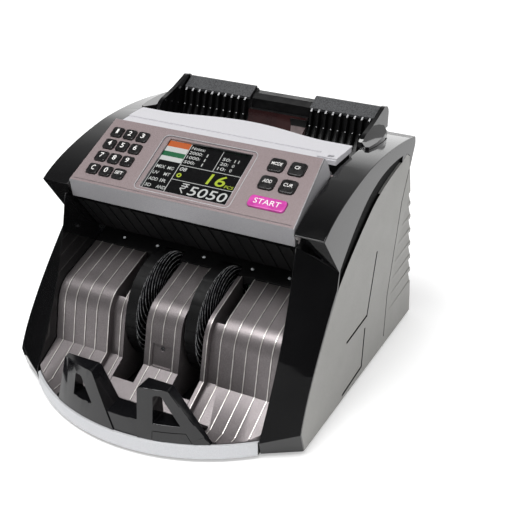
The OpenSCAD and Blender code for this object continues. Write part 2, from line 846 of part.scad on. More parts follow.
module drive_motor() {
    color("#8d9094") {
        rod(-98, -40, motor_c, 19);
        rod(-frame_x, -98, motor_c, 8);
        for (a = [0:60:300]) rod(-40, -38, motor_c + 13 * [cos(a), sin(a)], 2.4, 24);
        translate([-92, motor_c[0] - 12, floor_z]) cube([46, 24, 24]);
    }
}

module motor_pulley() {
    color("#b8bcc2") rod(-122, -frame_x - frame_t - 1.2, motor_c, shaft_r);
    color("#e0e0da") pulley(-belt_x, motor_c, motor_pulley_r);
}

module belt_loop(places, grow) {
    hull() for (p = places) translate(p[0]) circle(p[1] + grow, $fn = 48);
}

module belt(x, places) {
    along_x(x - belt_w / 2 + 0.4, x + belt_w / 2 - 0.4) difference() {
        belt_loop(places, belt_gap + belt_t);
        belt_loop(places, belt_gap);
    }
}

module drive_belts() {
    color("#1c1c1c") {
        belt(-belt_x, [[fan_c, fan_pulley_r], [transport_c, transport_pulley_r], [feed_c, feed_pulley_r],
            [motor_c, motor_pulley_r]]);
        belt(belt_x, [[feed_c, pickup_pulley_r], [pickup_c, pickup_pulley_r]]);
    }
}

bores = [fan_c, feed_c, pickup_c, transport_c];

module frame_plate() {
    along_x(frame_x, frame_x + frame_t) difference() {
        polygon([[-50, floor_z], [-50, 60], [-34, 84], [6, 122], [14, 142], [60, 146], [112, 154], [118, 140],
            [118, floor_z]]);
        for (c = bores) translate(c) circle(bush_r);
        translate(pinch_c) circle(4);
        translate(motor_c) circle(8.4);
        translate([20, 60]) circle(16);
        translate([48, 40]) circle(14);
    }
}

module inner_frame() {
    color("#a8abb0") {
        frame_plate();
        mirrored() frame_plate();
        for (c = [[0, 20], [113, 15], [112, 122]]) rod(-frame_x, frame_x, c, 4);
    }
}

module shaft_bushes() {
    color("#c8a24a") for (s = [-1, 1]) {
        for (c = bores) difference() {
            union() {
                rod(s * (frame_x + 1) - 2.4, s * (frame_x + 1) + 2.4, c, bush_r);
                rod(s * (frame_x - 0.7) - 0.7, s * (frame_x - 0.7) + 0.7, c, bush_r + 1.6);
            }
            rod(s * frame_x - 10, s * frame_x + 10, c, shaft_r + fit);
        }
        difference() {
            union() {
                rod(s * (frame_x + 1) - 2.4, s * (frame_x + 1) + 2.4, pinch_c, 4);
                rod(s * (frame_x - 0.7) - 0.7, s * (frame_x - 0.7) + 0.7, pinch_c, 5.4);
            }
            rod(s * frame_x - 10, s * frame_x + 10, pinch_c, 2 + fit);
        }
    }
}

module main_board() {
    color("#1f5c3a") {
        translate([-30, 26, 14]) cube([120, 76, 1.6]);
        for (x = [-26, 86], y = [30, 98]) translate([x, y, floor_z]) cylinder(h = 8.2, r = 2.5, $fn = 24);
        translate([10, 36, 15.4]) cube([34, 30, 26]);
        translate([56, 34, 15.4]) cube([26, 4, 22]);
        for (x = [58, 72]) translate([x, 56, 15.4]) cylinder(h = 20, r = 6, $fn = 32);
        for (x = [-20, -4]) translate([x, 44, 15.4]) cube([11, 11, 2.6]);
        for (i = [0:3]) translate([-24 + i * 16, 88, 15.4]) cube([12, 6, 7]);
    }
}

// ---------- rear fittings ----------

module power_inlet() {
    color("#18181a") difference() {
        translate([inlet[0] - 14, 120, inlet[1] - 10]) cube([28, 27.6, 20]);
        translate([inlet[0] - 12, 131, inlet[1] - 8]) cube([24, 30, 16]);
    }
    color("#c8ccd2") for (p = [[-7, -2], [0, 2], [7, -2]])
        translate([inlet[0] + p[0] - 1, 130.5, inlet[1] + p[1] - 2]) cube([2, 12, 4]);
}

module display_socket() {
    color("#18181a") difference() {
        translate([socket[0] - 7, 128, socket[1] - 6]) cube([14, 19.4, 12]);
        translate([socket[0] - 5.5, 132, socket[1] - 4.5]) cube([11, 30, 8]);
    }
}

switch_pivot = [140, switch[1]];

module power_switch() {
    color("#8e1c1c") difference() {
        along_x(switch[0] - 6, switch[0] + 6) polygon([[138, 25.4], [146.4, 25], [145, 34], [148.4, 42.6],
            [138, 42.2]]);
        rod(switch[0] - 20, switch[0] + 20, switch_pivot, 1.5 + fit, 24);
    }
}

module adjusting_knob() {
    color("#2a2a2c") translate([knob[0], 0, knob[1]]) rotate([-90, 0, 0]) {
        difference() {
            translate([0, 0, 138.5]) cylinder(h = 8, r = 9.6);
            for (i = [0:19]) rotate(i * 18) translate([9.9, 0, 140]) cylinder(h = 8, r = 0.8, $fn = 16);
            translate([-6.5, -0.8, 145.3]) cube([13, 1.6, 3]);
        }
        translate([0, 0, 122]) cylinder(h = 17, r = 2.5, $fn = 32);
    }
}

module cover_screws() {
    color("#54565a") for (x = screw_x) translate([x, 143, screw_z]) rotate([-90, 0, 0]) difference() {
        cylinder(h = 5.4, r = 3, $fn = 32);
        translate([-2.2, -0.4, 4.6]) cube([4.4, 0.8, 2]);
        translate([-0.4, -2.2, 4.6]) cube([0.8, 4.4, 2]);
    }
}

base_tray();
rubber_feet();
left_side_fairing();
right_side_fairing();
left_side_cover();
right_side_cover();
rear_cover();
control_panel();
panel_back();
screen_lens();
display_board();
key_1();
key_2();
key_3();
key_4();
key_5();
key_6();
key_7();
key_8();
key_9();
key_clear();
key_0();
key_set();
mode_button();
count_button();
add_button();
value_button();
start_button();
hopper_strip();
hopper_tray();
note_combs();
left_hopper_wing();
right_hopper_wing();
feed_guide();
left_stack_guide();
centre_stack_guide();
right_stack_guide();
stopper_plate();
throat_guide();
inner_frame();
left_fan_wheel();
right_fan_wheel();
fan_shaft();
feed_shaft();
feed_rollers();
pickup_shaft();
pickup_rollers();
transport_shaft();
pinch_rollers();
sensor_bar();
drive_motor();
motor_pulley();
drive_belts();
shaft_bushes();
main_board();
power_inlet();
display_socket();
power_switch();
adjusting_knob();
cover_screws();
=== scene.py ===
"""Looks of the banknote counting machine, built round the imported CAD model."""

import json
import math

import bmesh
import bpy
from mathutils import Matrix, Vector

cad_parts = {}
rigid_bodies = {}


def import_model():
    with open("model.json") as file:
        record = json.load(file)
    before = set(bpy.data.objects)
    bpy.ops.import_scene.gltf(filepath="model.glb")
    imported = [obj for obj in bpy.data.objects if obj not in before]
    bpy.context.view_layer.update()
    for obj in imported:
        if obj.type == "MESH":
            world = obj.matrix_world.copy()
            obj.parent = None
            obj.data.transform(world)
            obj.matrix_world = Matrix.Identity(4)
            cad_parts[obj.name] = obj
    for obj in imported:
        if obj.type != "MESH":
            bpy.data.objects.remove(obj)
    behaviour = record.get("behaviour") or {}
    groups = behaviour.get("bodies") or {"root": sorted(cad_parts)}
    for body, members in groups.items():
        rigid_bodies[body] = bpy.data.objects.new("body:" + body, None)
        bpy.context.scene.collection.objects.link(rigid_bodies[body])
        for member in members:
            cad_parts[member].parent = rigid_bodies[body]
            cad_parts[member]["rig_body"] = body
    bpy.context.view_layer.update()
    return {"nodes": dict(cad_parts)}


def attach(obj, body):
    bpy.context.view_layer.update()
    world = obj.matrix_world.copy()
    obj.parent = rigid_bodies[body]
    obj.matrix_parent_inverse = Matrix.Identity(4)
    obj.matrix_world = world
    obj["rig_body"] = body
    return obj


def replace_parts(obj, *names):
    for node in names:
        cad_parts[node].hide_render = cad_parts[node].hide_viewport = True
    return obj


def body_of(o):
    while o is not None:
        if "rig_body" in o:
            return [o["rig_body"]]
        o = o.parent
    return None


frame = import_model()

# Lengths are in millimetres, and angles in degrees, where nothing else is said
MM = 0.001
PANEL_ORIGIN = (0.0, -46.5, 168.0)
PANEL_SLOPE = 26.2
SCREEN = (-38.5, 9.5, 77.3, 53.1)  # left, lower edge, width and height on the panel
DISPLAY_W = -3.2  # how deep the picture lies under the panel face
KEY_TOP = 1.6
KEY_X = (-86.7, -74.2, -61.7)
KEY_Y = (57.0, 43.3, 29.3, 15.2)
BUTTON_X = (63.2, 81.0)
BUTTON_Y = (55.7, 37.2)
START_AT = (72.0, 17.6)
SHOULDER = 0.75  # rounding of a key's upper edge
CROWN = -0.02  # dish of the larger keys, which stand up a little
CORNER_STEPS = 6  # of a rounded rectangle's corner
FONT_SIZE = 1.38  # for capitals one high

LINE_WIDTH = 0.75  # of the bright lines on the slides
LINE_FOOT, LINE_TOP = 0.3, 0.58  # where a line starts and ends over the slide
LINE_X = (97.4, 86.6, 75.7, 64.8, 52.7, 40.7)
SLIDE_TOP = ((-14.6, 96.6), (-35, 90.5))  # a slide's face as Y and Z, from its back,
SLIDE_BEND = ((-56, 84.2), (-69.5, 80.2), (-73.2, 66))  # round its bend
SLIDE_FOOT = ((-81, 33), (-113.5, 16), (-150, 16))  # and down to the rim
STOPPER_SPAN, STOPPER_LINES = (-70.4, 78.4), -124.4  # along X, and where the lines in it end
MIDDLE_SPAN, MIDDLE_LINES = (-58.4, 62.4), -110.6  # the same nearer the middle
RECESS_Z = (33.4, 53.6)  # of the screw's recess in the centre slide
RIM_MIDDLE = 11.5  # Y of the round rim's middle
RIM_RADIUS = 157.2  # of its inner face
COMBS = ((-96, -27), (33, 96))  # the two rows of fins along X
FIN_PITCH = 6.9

SIDE_X = 133.6  # the side face's X at table height
SIDE_LEAN = math.tan(math.radians(2))
GROOVES_TO = 75  # Y where the side cover's grooves end
SLATS_FROM = 78  # Y where its slats start
COVER_FOOT = 10  # height under which it gets no painted shade
SENSOR_X = (-80, -46, 0, 46, 80)  # holes of the sensor bar

DOUBLED = 0.003  # points nearer than this are one
FLAT = 0.7  # faces that turn by less than this are one
SHARP_FROM = 28  # an edge that turns by more has a crease
ROUNDED_FROM = 30  # an edge that turns by more is rounded
SHORTEST_EDGE = 1.5  # that is rounded
ROOM_PER_EDGE = 2.1  # free width beside a rounded edge, in roundings
NARROW_TIP = 50  # a face's corner that is too narrow for a rounding

CAMERA_AT = (387.0, -653.8, 505.7)
CAMERA_AZIMUTH, CAMERA_HEIGHT = 27.02, 28.66
CAMERA_LENS = 69.23
FLOOR_LIFT = 0.32  # what the floor lacks to be white, added for the camera
WORLD_LEVEL = 0.58  # of the even light from all round
SHEET_LEVEL = 2.4  # of the bright sheet that gloss shows
SHEET_BY_HEIGHT = ((0.0, 0.6), (0.32, 0.62), (0.5, 0.26), (0.64, 0.08), (0.82, 0.02), (1.0, 0.0))
SHEET_BEHIND = ((0.1, 0.0), (0.6, 1.0))
FRONT_BY_HEIGHT = ((0.0, 0.1), (0.4, 0.08), (0.9, 0.02))
UPRIGHT = (90, 0, 90)  # turn of a card that stands beside the object


# ---------- materials ----------

def linear(red, green, blue):
    """A colour given in 0..255 as the eye sees it, as Blender's linear values"""
    out = []
    for value in (red, green, blue):
        c = value / 255
        out.append(c / 12.92 if c <= 0.04045 else ((c + 0.055) / 1.055) ** 2.4)
    return (*out, 1.0)


def shaded(colour, factor):
    """A colour made darker or lighter"""
    return [min(255, factor * value) for value in colour]


def shader_of(made):
    return made.node_tree.nodes["Principled BSDF"]


def plain(name, colour, metallic=0.0, roughness=0.5, specular=0.5, coat=0.0, coat_roughness=0.03):
    """A material with its shader's own constants set"""
    made = bpy.data.materials.new(name)
    made.use_nodes = True
    made.diffuse_color = linear(*colour)
    values = {"Base Color": linear(*colour), "Metallic": metallic, "Roughness": roughness,
              "Specular IOR Level": specular, "Coat Weight": coat, "Coat Roughness": coat_roughness}
    for socket, value in values.items():
        shader_of(made).inputs[socket].default_value = value
    return made


def node(made, kind, **settings):
    """A new node of a material or world"""
    new = made.node_tree.nodes.new(kind)
    for key, value in settings.items():
        setattr(new, key, value)
    return new


def link(made, start, end):
    made.node_tree.links.new(start, end)


def noise(made, size, detail, stretch=(1, 1, 1)):
    """Noise whose features are about size millimetres across, in the object's own space"""
    coords = node(made, "ShaderNodeTexCoord")
    mapping = node(made, "ShaderNodeMapping")
    mapping.inputs["Scale"].default_value = stretch
    texture = node(made, "ShaderNodeTexNoise")
    texture.inputs["Scale"].default_value = 1 / (size * MM)
    texture.inputs["Detail"].default_value = detail
    link(made, coords.outputs["Object"], mapping.inputs["Vector"])
    link(made, mapping.outputs["Vector"], texture.inputs["Vector"])
    return texture.outputs["Fac"]


def cells(made, size):
    """Cells of about size millimetres, in the object's own space, as their colours and distances"""
    coords = node(made, "ShaderNodeTexCoord")
    texture = node(made, "ShaderNodeTexVoronoi")
    texture.inputs["Scale"].default_value = 1 / (size * MM)
    link(made, coords.outputs["Object"], texture.inputs["Vector"])
    return texture.outputs


def vary_colour(made, factor, dark, light, low=0.35, high=0.65):
    """Base colour that wanders between two tones"""
    ramp = node(made, "ShaderNodeValToRGB")
    ramp.color_ramp.elements[0].position = low
    ramp.color_ramp.elements[0].color = linear(*dark)
    ramp.color_ramp.elements[1].position = high
    ramp.color_ramp.elements[1].color = linear(*light)
    link(made, factor, ramp.inputs["Fac"])
    link(made, ramp.outputs["Color"], shader_of(made).inputs["Base Color"])


def vary_roughness(made, factor, low, high):
    """Roughness that wanders between two values"""
    spread = node(made, "ShaderNodeMapRange")
    spread.inputs["From Min"].default_value = 0.3
    spread.inputs["From Max"].default_value = 0.7
    spread.inputs["To Min"].default_value = low
    spread.inputs["To Max"].default_value = high
    link(made, factor, spread.inputs["Value"])
    link(made, spread.outputs["Result"], shader_of(made).inputs["Roughness"])


def grain(made, factor, depth, strength):
    """A bump depth millimetres high"""
    bump = node(made, "ShaderNodeBump")
    bump.inputs["Distance"].default_value = depth * MM
    bump.inputs["Strength"].default_value = strength
    link(made, factor, bump.inputs["Height"])
    link(made, bump.outputs["Normal"], shader_of(made).inputs["Normal"])


def gloss_black():
    """Piano black moulding: a clear skin with a faint ripple and a few fine smears"""
    made = plain("gloss_black", (14, 14, 15), roughness=0.09, coat=0.5, coat_roughness=0.04)
    vary_colour(made, noise(made, 60, 2), (12, 12, 13), (17, 17, 18))
    vary_roughness(made, noise(made, 14, 4, (1, 1, 3)), 0.06, 0.15)
    grain(made, noise(made, 9, 1), 0.02, 0.5)
    return made


def side_silver():
    """Warm silver lacquer of the side covers, over a fine moulded grain"""
    made = plain("side_silver", (154, 153, 150), metallic=0.2, roughness=0.4)
    vary_colour(made, noise(made, 0.5, 3), (147, 146, 143), (162, 161, 158))
    vary_roughness(made, noise(made, 20, 3), 0.36, 0.46)
    grain(made, noise(made, 0.35, 2), 0.015, 0.5)
    return made


def rim_silver():
    """Light silver lacquer of the front rim"""
    made = plain("rim_silver", (208, 209, 212), metallic=0.15, roughness=0.34)
    vary_colour(made, noise(made, 0.5, 3), (201, 202, 205), (216, 217, 220))
    grain(made, noise(made, 0.35, 2), 0.012, 0.5)
    return made


def light_silver():
    """Pale silver of the strip before the hopper"""
    made = plain("light_silver", (200, 199, 203), specular=0.3)
    vary_colour(made, noise(made, 0.5, 3), (193, 192, 196), (207, 206, 210))
    grain(made, noise(made, 0.4, 2), 0.012, 0.5)
    return made


def panel_silver():
    """Rose-tinted silver lacquer of the control panel, with metal flakes in it"""
    made = plain("panel_silver", (144, 130, 131), metallic=0.15, roughness=0.36)
    split = node(made, "ShaderNodeSeparateColor")
    link(made, cells(made, 0.32)["Color"], split.inputs["Color"])
    vary_colour(made, split.outputs["Red"], (132, 118, 119), (156, 142, 143), 0.0, 1.0)
    grain(made, split.outputs["Green"], 0.012, 0.6)
    return made


def edge_silver():
    """Neutral silver of the control panel's front and side faces"""
    made = plain("edge_silver", (152, 151, 154), metallic=0.4, roughness=0.32)
    vary_colour(made, noise(made, 0.5, 3), (145, 144, 147), (159, 158, 161))
    grain(made, noise(made, 0.35, 2), 0.012, 0.5)
    return made


def highlight_silver():
    """Painted highlight: light silver on the control panel's rounded edges and on the lip round its screen
    """
    made = plain("highlight_silver", (196, 194, 197), metallic=0.4, roughness=0.28)
    vary_colour(made, noise(made, 2, 3), (184, 182, 185), (206, 204, 207))
    return made


def dull_black():
    """Flat black, painted as shade into the channel beside the side covers and into the covers' grooves,
    slat undersides and front edges; also the dark cards
    """
    made = plain("dull_black", (7, 7, 7), roughness=0.7, specular=0.15)
    vary_colour(made, noise(made, 5, 3), (5, 5, 5), (10, 10, 10))
    return made


def fin_black():
    """Black rubber of the fins on the hopper's wall"""
    made = plain("fin_black", (12, 12, 13), roughness=0.7, specular=0.2)
    vary_colour(made, noise(made, 2, 3), (9, 9, 10), (16, 16, 17))
    grain(made, noise(made, 0.5, 3), 0.02, 0.5)
    return made


def glint_grey():
    """Light grey painted highlight on the fins' tips, standing for the glints there"""
    made = plain("glint_grey", (166, 166, 168), roughness=0.35)
    vary_colour(made, noise(made, 1, 3), (140, 140, 142), (196, 196, 198))
    return made


def blade_edge_highlight():
    """Painted highlight: the cut side edges of the stacking wheels' blades, coloured light grey where they
    would catch the light
    """
    made = plain("blade_edge_highlight", (150, 152, 154), roughness=0.25)
    vary_colour(made, noise(made, 3, 3), (90, 92, 94), (210, 212, 214))
    return made


def lens_glint_white():
    """A counting sensor's epoxy dome, coloured near white as a painted glint"""
    made = plain("lens_glint_white", (226, 230, 234), roughness=0.06, coat=1.0)
    vary_colour(made, noise(made, 1, 2), (206, 212, 218), (240, 242, 244))
    return made


def guide_grey():
    """Dark metallic lacquer of the stacker's slides, with a sandy texture"""
    made = plain("guide_grey", (136, 130, 131), metallic=0.8, roughness=0.38)
    vary_colour(made, noise(made, 0.6, 4), (126, 120, 121), (146, 140, 141))
    vary_roughness(made, noise(made, 12, 3), 0.36, 0.45)
    grain(made, noise(made, 0.45, 3), 0.03, 0.7)
    return made


def stripe_silver():
    """Bright worn line on top of a slide's rib"""
    made = plain("stripe_silver", (214, 210, 206), metallic=0.6, roughness=0.3)
    vary_colour(made, noise(made, 6, 4), (190, 186, 182), (232, 228, 224))
    return made


def smoke_black():
    """Glossy smoke-black plastic of the stopper"""
    made = plain("smoke_black", (17, 17, 19), roughness=0.12, coat=0.4, coat_roughness=0.04)
    vary_colour(made, noise(made, 30, 2), (14, 14, 16), (21, 21, 23))
    vary_roughness(made, noise(made, 10, 4), 0.08, 0.18)
    grain(made, noise(made, 8, 1), 0.02, 0.5)
    return made


def matt_black():
    """Black moulding with a spark-eroded grain"""
    made = plain("matt_black", (15, 15, 16), roughness=0.42)
    vary_colour(made, noise(made, 3, 4), (11, 11, 12), (20, 20, 21))
    vary_roughness(made, noise(made, 8, 4), 0.34, 0.52)
    grain(made, noise(made, 0.4, 3), 0.03, 0.6)
    return made


def pad_grey():
    """Dark grey rubber pad with a fine pebbled face"""
    made = plain("pad_grey", (66, 67, 69), roughness=0.5)
    pebbles = cells(made, 1.1)["Distance"]
    vary_colour(made, pebbles, (92, 93, 95), (52, 53, 55), 0.1, 0.8)
    grain(made, pebbles, 0.12, 0.6)
    return made


def key_black():
    """Satin black keycap plastic, polished on top by fingers"""
    made = plain("key_black", (19, 18, 19), roughness=0.26, coat=0.25, coat_roughness=0.1)
    vary_colour(made, noise(made, 2, 3), (15, 14, 15), (23, 22, 23))
    vary_roughness(made, noise(made, 5, 4), 0.2, 0.36)
    grain(made, noise(made, 0.3, 2), 0.01, 0.5)
    return made


def start_magenta():
    """Translucent magenta of the start key"""
    made = plain("start_magenta", (196, 62, 158), roughness=0.24, coat=0.4, coat_roughness=0.08)
    shader_of(made).inputs["Subsurface Weight"].default_value = 0.15
    shader_of(made).inputs["Subsurface Radius"].default_value = (0.002, 0.0006, 0.0012)
    vary_colour(made, noise(made, 9, 2), (188, 54, 150), (208, 76, 170))
    grain(made, noise(made, 0.4, 2), 0.01, 0.5)
    return made


def legend_white():
    """White ink of the key legends"""
    made = plain("legend_white", (232, 230, 228), roughness=0.45)
    vary_colour(made, noise(made, 0.8, 4), (218, 216, 214), (242, 240, 238))
    return made


def lens_glass():
    """The display's window: clear acrylic, thin enough to show little of itself"""
    made = plain("lens_glass", (12, 13, 14), roughness=0.03, specular=0.12)
    shader_of(made).inputs["Alpha"].default_value = 0.12
    vary_roughness(made, noise(made, 25, 3), 0.02, 0.06)
    return made


def screen_dark():
    """The unlit face of the display"""
    made = plain("screen_dark", (8, 8, 10), roughness=0.6, specular=0.15)
    vary_colour(made, noise(made, 4, 2), (6, 6, 8), (11, 11, 13))
    return made


def glowing(name, colour):
    """A lit colour of the display, with the faint grid of its dots"""
    made = plain(name, (10, 10, 10))
    shader_of(made).inputs["Emission Strength"].default_value = 1.0
    ramp = node(made, "ShaderNodeValToRGB")
    ramp.color_ramp.elements[0].color = linear(*colour)
    ramp.color_ramp.elements[1].color = linear(*shaded(colour, 0.86))
    link(made, cells(made, 0.25)["Distance"], ramp.inputs["Fac"])
    link(made, ramp.outputs["Color"], shader_of(made).inputs["Emission Color"])
    return made


def board_green():
    """Solder mask of the circuit boards, with copper showing faintly as tracks"""
    made = plain("board_green", (24, 84, 52), roughness=0.3)
    tracks = node(made, "ShaderNodeTexBrick")
    tracks.inputs["Scale"].default_value = 160
    coords = node(made, "ShaderNodeTexCoord")
    link(made, coords.outputs["Object"], tracks.inputs["Vector"])
    vary_colour(made, tracks.outputs["Fac"], (22, 78, 48), (44, 116, 70), 0.2, 0.9)
    return made


def rubber(name, colour, size):
    """Dull rubber with a dusty bloom"""
    made = plain(name, colour, roughness=0.75)
    vary_colour(made, noise(made, size, 4), shaded(colour, 0.85), shaded(colour, 1.25))
    grain(made, noise(made, 0.6, 3), 0.05, 0.6)
    return made


def wheel_black():
    """Springy black plastic of the stacking wheels' blades, with worn glossy backs"""
    made = plain("wheel_black", (10, 10, 11), roughness=0.5, specular=0.25)
    vary_colour(made, noise(made, 1.5, 3, (4, 1, 1)), (7, 7, 8), (14, 14, 15))
    vary_roughness(made, noise(made, 4, 3), 0.42, 0.6)
    grain(made, noise(made, 1.0, 2, (4, 1, 1)), 0.03, 0.5)
    return made


def metal(name, colour, roughness):
    """Turned metal, brushed round its axis along X"""
    made = plain(name, colour, metallic=1.0, roughness=roughness)
    fine = noise(made, 1.2, 4, (8, 1, 1))
    vary_colour(made, fine, shaded(colour, 0.86), shaded(colour, 1.08))
    vary_roughness(made, fine, roughness * 0.8, roughness * 1.3)
    return made


def switch_red():
    """Red lamp plastic of the mains rocker"""
    made = plain("switch_red", (176, 28, 24), roughness=0.22, coat=0.4)
    vary_colour(made, noise(made, 4, 2), (168, 24, 20), (188, 36, 30))
    return made


def sensor_brown():
    """Dark red filter plastic of the hopper's sensor window"""
    made = plain("sensor_brown", (46, 26, 27), roughness=0.14, coat=0.2)
    vary_colour(made, noise(made, 25, 2), (38, 21, 22), (56, 33, 33))
    return made


def tongue_grey():
    """Satin grey plastic of the tongue on the sensor window"""
    made = plain("tongue_grey", (136, 122, 122), metallic=0.3, roughness=0.3)
    vary_colour(made, noise(made, 8, 3), (126, 113, 113), (146, 132, 132))
    return made


MATERIALS = {make.__name__: make() for make in (
    tongue_grey, gloss_black, dull_black, screen_dark, edge_silver, highlight_silver, fin_black, glint_grey,
    blade_edge_highlight, lens_glint_white, side_silver, rim_silver, light_silver, panel_silver, guide_grey,
    stripe_silver, smoke_black, matt_black, pad_grey, key_black, start_magenta, legend_white,
    lens_glass, board_green, wheel_black, switch_red, sensor_brown)}
for name, colour, size in (("rubber_black", (28, 28, 29), 3), ("roller_rubber", (52, 52, 54), 2)):
    MATERIALS[name] = rubber(name, colour, size)
for name, colour, roughness in (("steel", (186, 188, 192), 0.28), ("bronze", (176, 128, 74), 0.35)):
    MATERIALS[name] = metal(name, colour, roughness)
for name, colour in (("lit_white", (240, 242, 240)), ("lit_lime", (206, 228, 60)),
                     ("lit_amber", (226, 112, 52)), ("lit_green", (30, 116, 72))):
    MATERIALS[name] = glowing(name, colour)


# ---------- meshes ----------

def placed(name, data):
    """A new object in the scene"""
    made = bpy.data.objects.new(name, data)
    bpy.context.collection.objects.link(made)
    return made


def new_mesh(name, points, faces):
    made = bpy.data.meshes.new(name)
    made.from_pydata(points, [], faces)
    return made


def softened(mesh, sharp=SHARP_FROM):
    """Smooth shading, with a crease at each edge that turns by more than sharp degrees"""
    mesh.shade_smooth()
    mesh.set_sharp_from_angle(angle=math.radians(sharp))


def merged(name, meshes):
    """Several meshes in one"""
    made = bmesh.new()
    for mesh in meshes:
        made.from_mesh(mesh)
        bpy.data.meshes.remove(mesh)
    out = bpy.data.meshes.new(name)
    made.to_mesh(out)
    made.free()
    return out


def circle(x, y, radius, z, steps):
    """Points of a level circle"""
    turns = [2 * math.pi * i / steps for i in range(steps)]
    return [(x + radius * math.cos(a), y + radius * math.sin(a), z) for a in turns]


def rounded_ring(w, h, r, z):
    """Points of a rounded rectangle, centred, at height z"""
    ring = []
    for quarter, (sx, sy) in enumerate(((1, 1), (-1, 1), (-1, -1), (1, -1))):
        for i in range(CORNER_STEPS + 1):
            a = math.radians(90 * quarter + 90 * i / CORNER_STEPS)
            ring.append((sx * (w / 2 - r) + r * math.cos(a), sy * (h / 2 - r) + r * math.sin(a), z))
    return ring


def band(rings, count, closed=False):
    """Faces that join rings of count points each, and the last ring to the first where closed"""
    total = rings * count
    faces = []
    for ring in range(rings if closed else rings - 1):
        for i in range(count):
            a, b = ring * count + i, ring * count + (i + 1) % count
            faces.append((a, b, (b + count) % total, (a + count) % total))
    return faces


# ---------- dressing the CAD nodes ----------

def joined_copy(name):
    """The mesh of a CAD node with its doubled points merged and its flat faces joined"""
    mesh = frame["nodes"][name].data.copy()
    if "custom_normal" in mesh.attributes:
        mesh.attributes.remove(mesh.attributes["custom_normal"])
    made = bmesh.new()
    made.from_mesh(mesh)
    bmesh.ops.remove_doubles(made, verts=made.verts, dist=DOUBLED * MM)
    bmesh.ops.dissolve_limit(made, angle_limit=math.radians(FLAT), verts=made.verts, edges=made.edges)
    made.to_mesh(mesh)
    made.free()
    return mesh


def paint_faces(mesh, finish, paint):
    """Gives each face its finish. paint says which, from the face's lowest and highest corner and its
    direction, in mm, or None for the main one"""
    finishes = [finish]
    for face in mesh.polygons:
        points = [mesh.vertices[i].co / MM for i in face.vertices]
        low = Vector([min(p[k] for p in points) for k in range(3)])
        high = Vector([max(p[k] for p in points) for k in range(3)])
        chosen = (paint(low, high, face.normal) if paint else None) or finish
        if chosen not in finishes:
            finishes.append(chosen)
        face.material_index = finishes.index(chosen)
    for item in finishes:
        mesh.materials.append(MATERIALS[item])


def beside_edge(point, edge):
    """How far a point lies beside an edge, or a metre where it is past one of its ends"""
    start, end = (vert.co for vert in edge.verts)
    along = (point - start).dot(end - start) / max((end - start).length_squared, 1e-12)
    if along < 0 or along > 1:
        return 1.0
    return (point - start.lerp(end, along)).length


def has_room(face, edge, room):
    """Whether the face is wide enough beside this edge to take its rounding"""
    ends = [vert.co for vert in edge.verts]
    samples = [ends[0].lerp(ends[1], t) for t in (0.0, 0.3, 0.5, 0.7, 1.0)]
    for other in face.edges:
        shared = [vert for vert in edge.verts if vert in other.verts]
        if other == edge:
            continue
        if shared:
            one = edge.other_vert(shared[0]).co - shared[0].co
            two = other.other_vert(shared[0]).co - shared[0].co
            if one.angle(two) < math.radians(NARROW_TIP):
                return False
        elif min(beside_edge(point, other) for point in samples) < room:
            return False
        elif min(beside_edge(vert.co, edge) for vert in other.verts) < room:
            return False
    return True


def mark_main_edges(mesh, smallest, room):
    """Marks for rounding the sharp edges between two faces that are both at least smallest mm2 large
    and wide enough beside the edge"""
    made = bmesh.new()
    made.from_mesh(mesh)
    weight = made.edges.layers.float.new("bevel_weight_edge")
    for edge in made.edges:
        faces = edge.link_faces
        if len(faces) != 2 or edge.calc_length() < SHORTEST_EDGE * MM:
            continue
        large = min(face.calc_area() for face in faces) > smallest * MM * MM
        if large and edge.calc_face_angle(0) > math.radians(ROUNDED_FROM):
            if all(has_room(face, edge, room * MM) for face in faces):
                edge[weight] = 1.0
    made.to_mesh(mesh)
    made.free()


def round_edges(piece, width, segments, marked):
    """Rounds the sharp edges of a piece, or only its marked ones"""
    bevel = piece.modifiers.new("soft edges", "BEVEL")
    bevel.width = width * MM
    bevel.segments = segments
    bevel.limit_method = "WEIGHT" if marked else "ANGLE"
    bevel.angle_limit = math.radians(ROUNDED_FROM)
    bevel.use_clamp_overlap = not marked
    bevel.harden_normals = True
    return bevel


def dress(name, finish, edge, segments=2, paint=None, main_only=0.0, edge_finish=None):
    """A piece in place of a CAD node: its shape with softened edges and a finished surface. main_only
    keeps the softening to the edges of large faces, from so many mm2 up"""
    source = frame["nodes"][name]
    mesh = joined_copy(name)
    mesh.materials.clear()
    paint_faces(mesh, finish, paint)
    if main_only:
        mark_main_edges(mesh, main_only, ROOM_PER_EDGE * edge)
    softened(mesh)
    piece = placed(name + "_shell", mesh)
    piece.matrix_world = source.matrix_world.copy()
    if edge:
        bevel = round_edges(piece, edge, segments, bool(main_only))
        if edge_finish:
            mesh.materials.append(MATERIALS[edge_finish])
            bevel.material = len(mesh.materials) - 1
    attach(piece, body_of(source)[0])
    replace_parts(piece, name)


def refinish(name, finish):
    """A CAD node that keeps its shape and gets a finished surface"""
    data = frame["nodes"][name].data
    data.materials.clear()
    data.materials.append(MATERIALS[finish])


def add_piece(name, mesh, body, finish):
    """A piece that rides on a body"""
    mesh.materials.clear()
    mesh.materials.append(MATERIALS[finish])
    piece = placed(name, mesh)
    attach(piece, body)
    return piece


# ---------- the control panel's fine work ----------

def on_panel():
    """Matrix from the panel's own millimetres (across, up the slope, out of the face) to the row frame"""
    place = Matrix.Translation(Vector(PANEL_ORIGIN) * MM)
    return place @ Matrix.Rotation(math.radians(PANEL_SLOPE), 4, "X") @ Matrix.Scale(MM, 4)


def panel_mesh(name, centre, rings, faces):
    """A mesh on the panel, from rings of points round a centre"""
    place = on_panel() @ Matrix.Translation((*centre, 0))
    return new_mesh(name, [place @ Vector(point) for ring in rings for point in ring], faces)


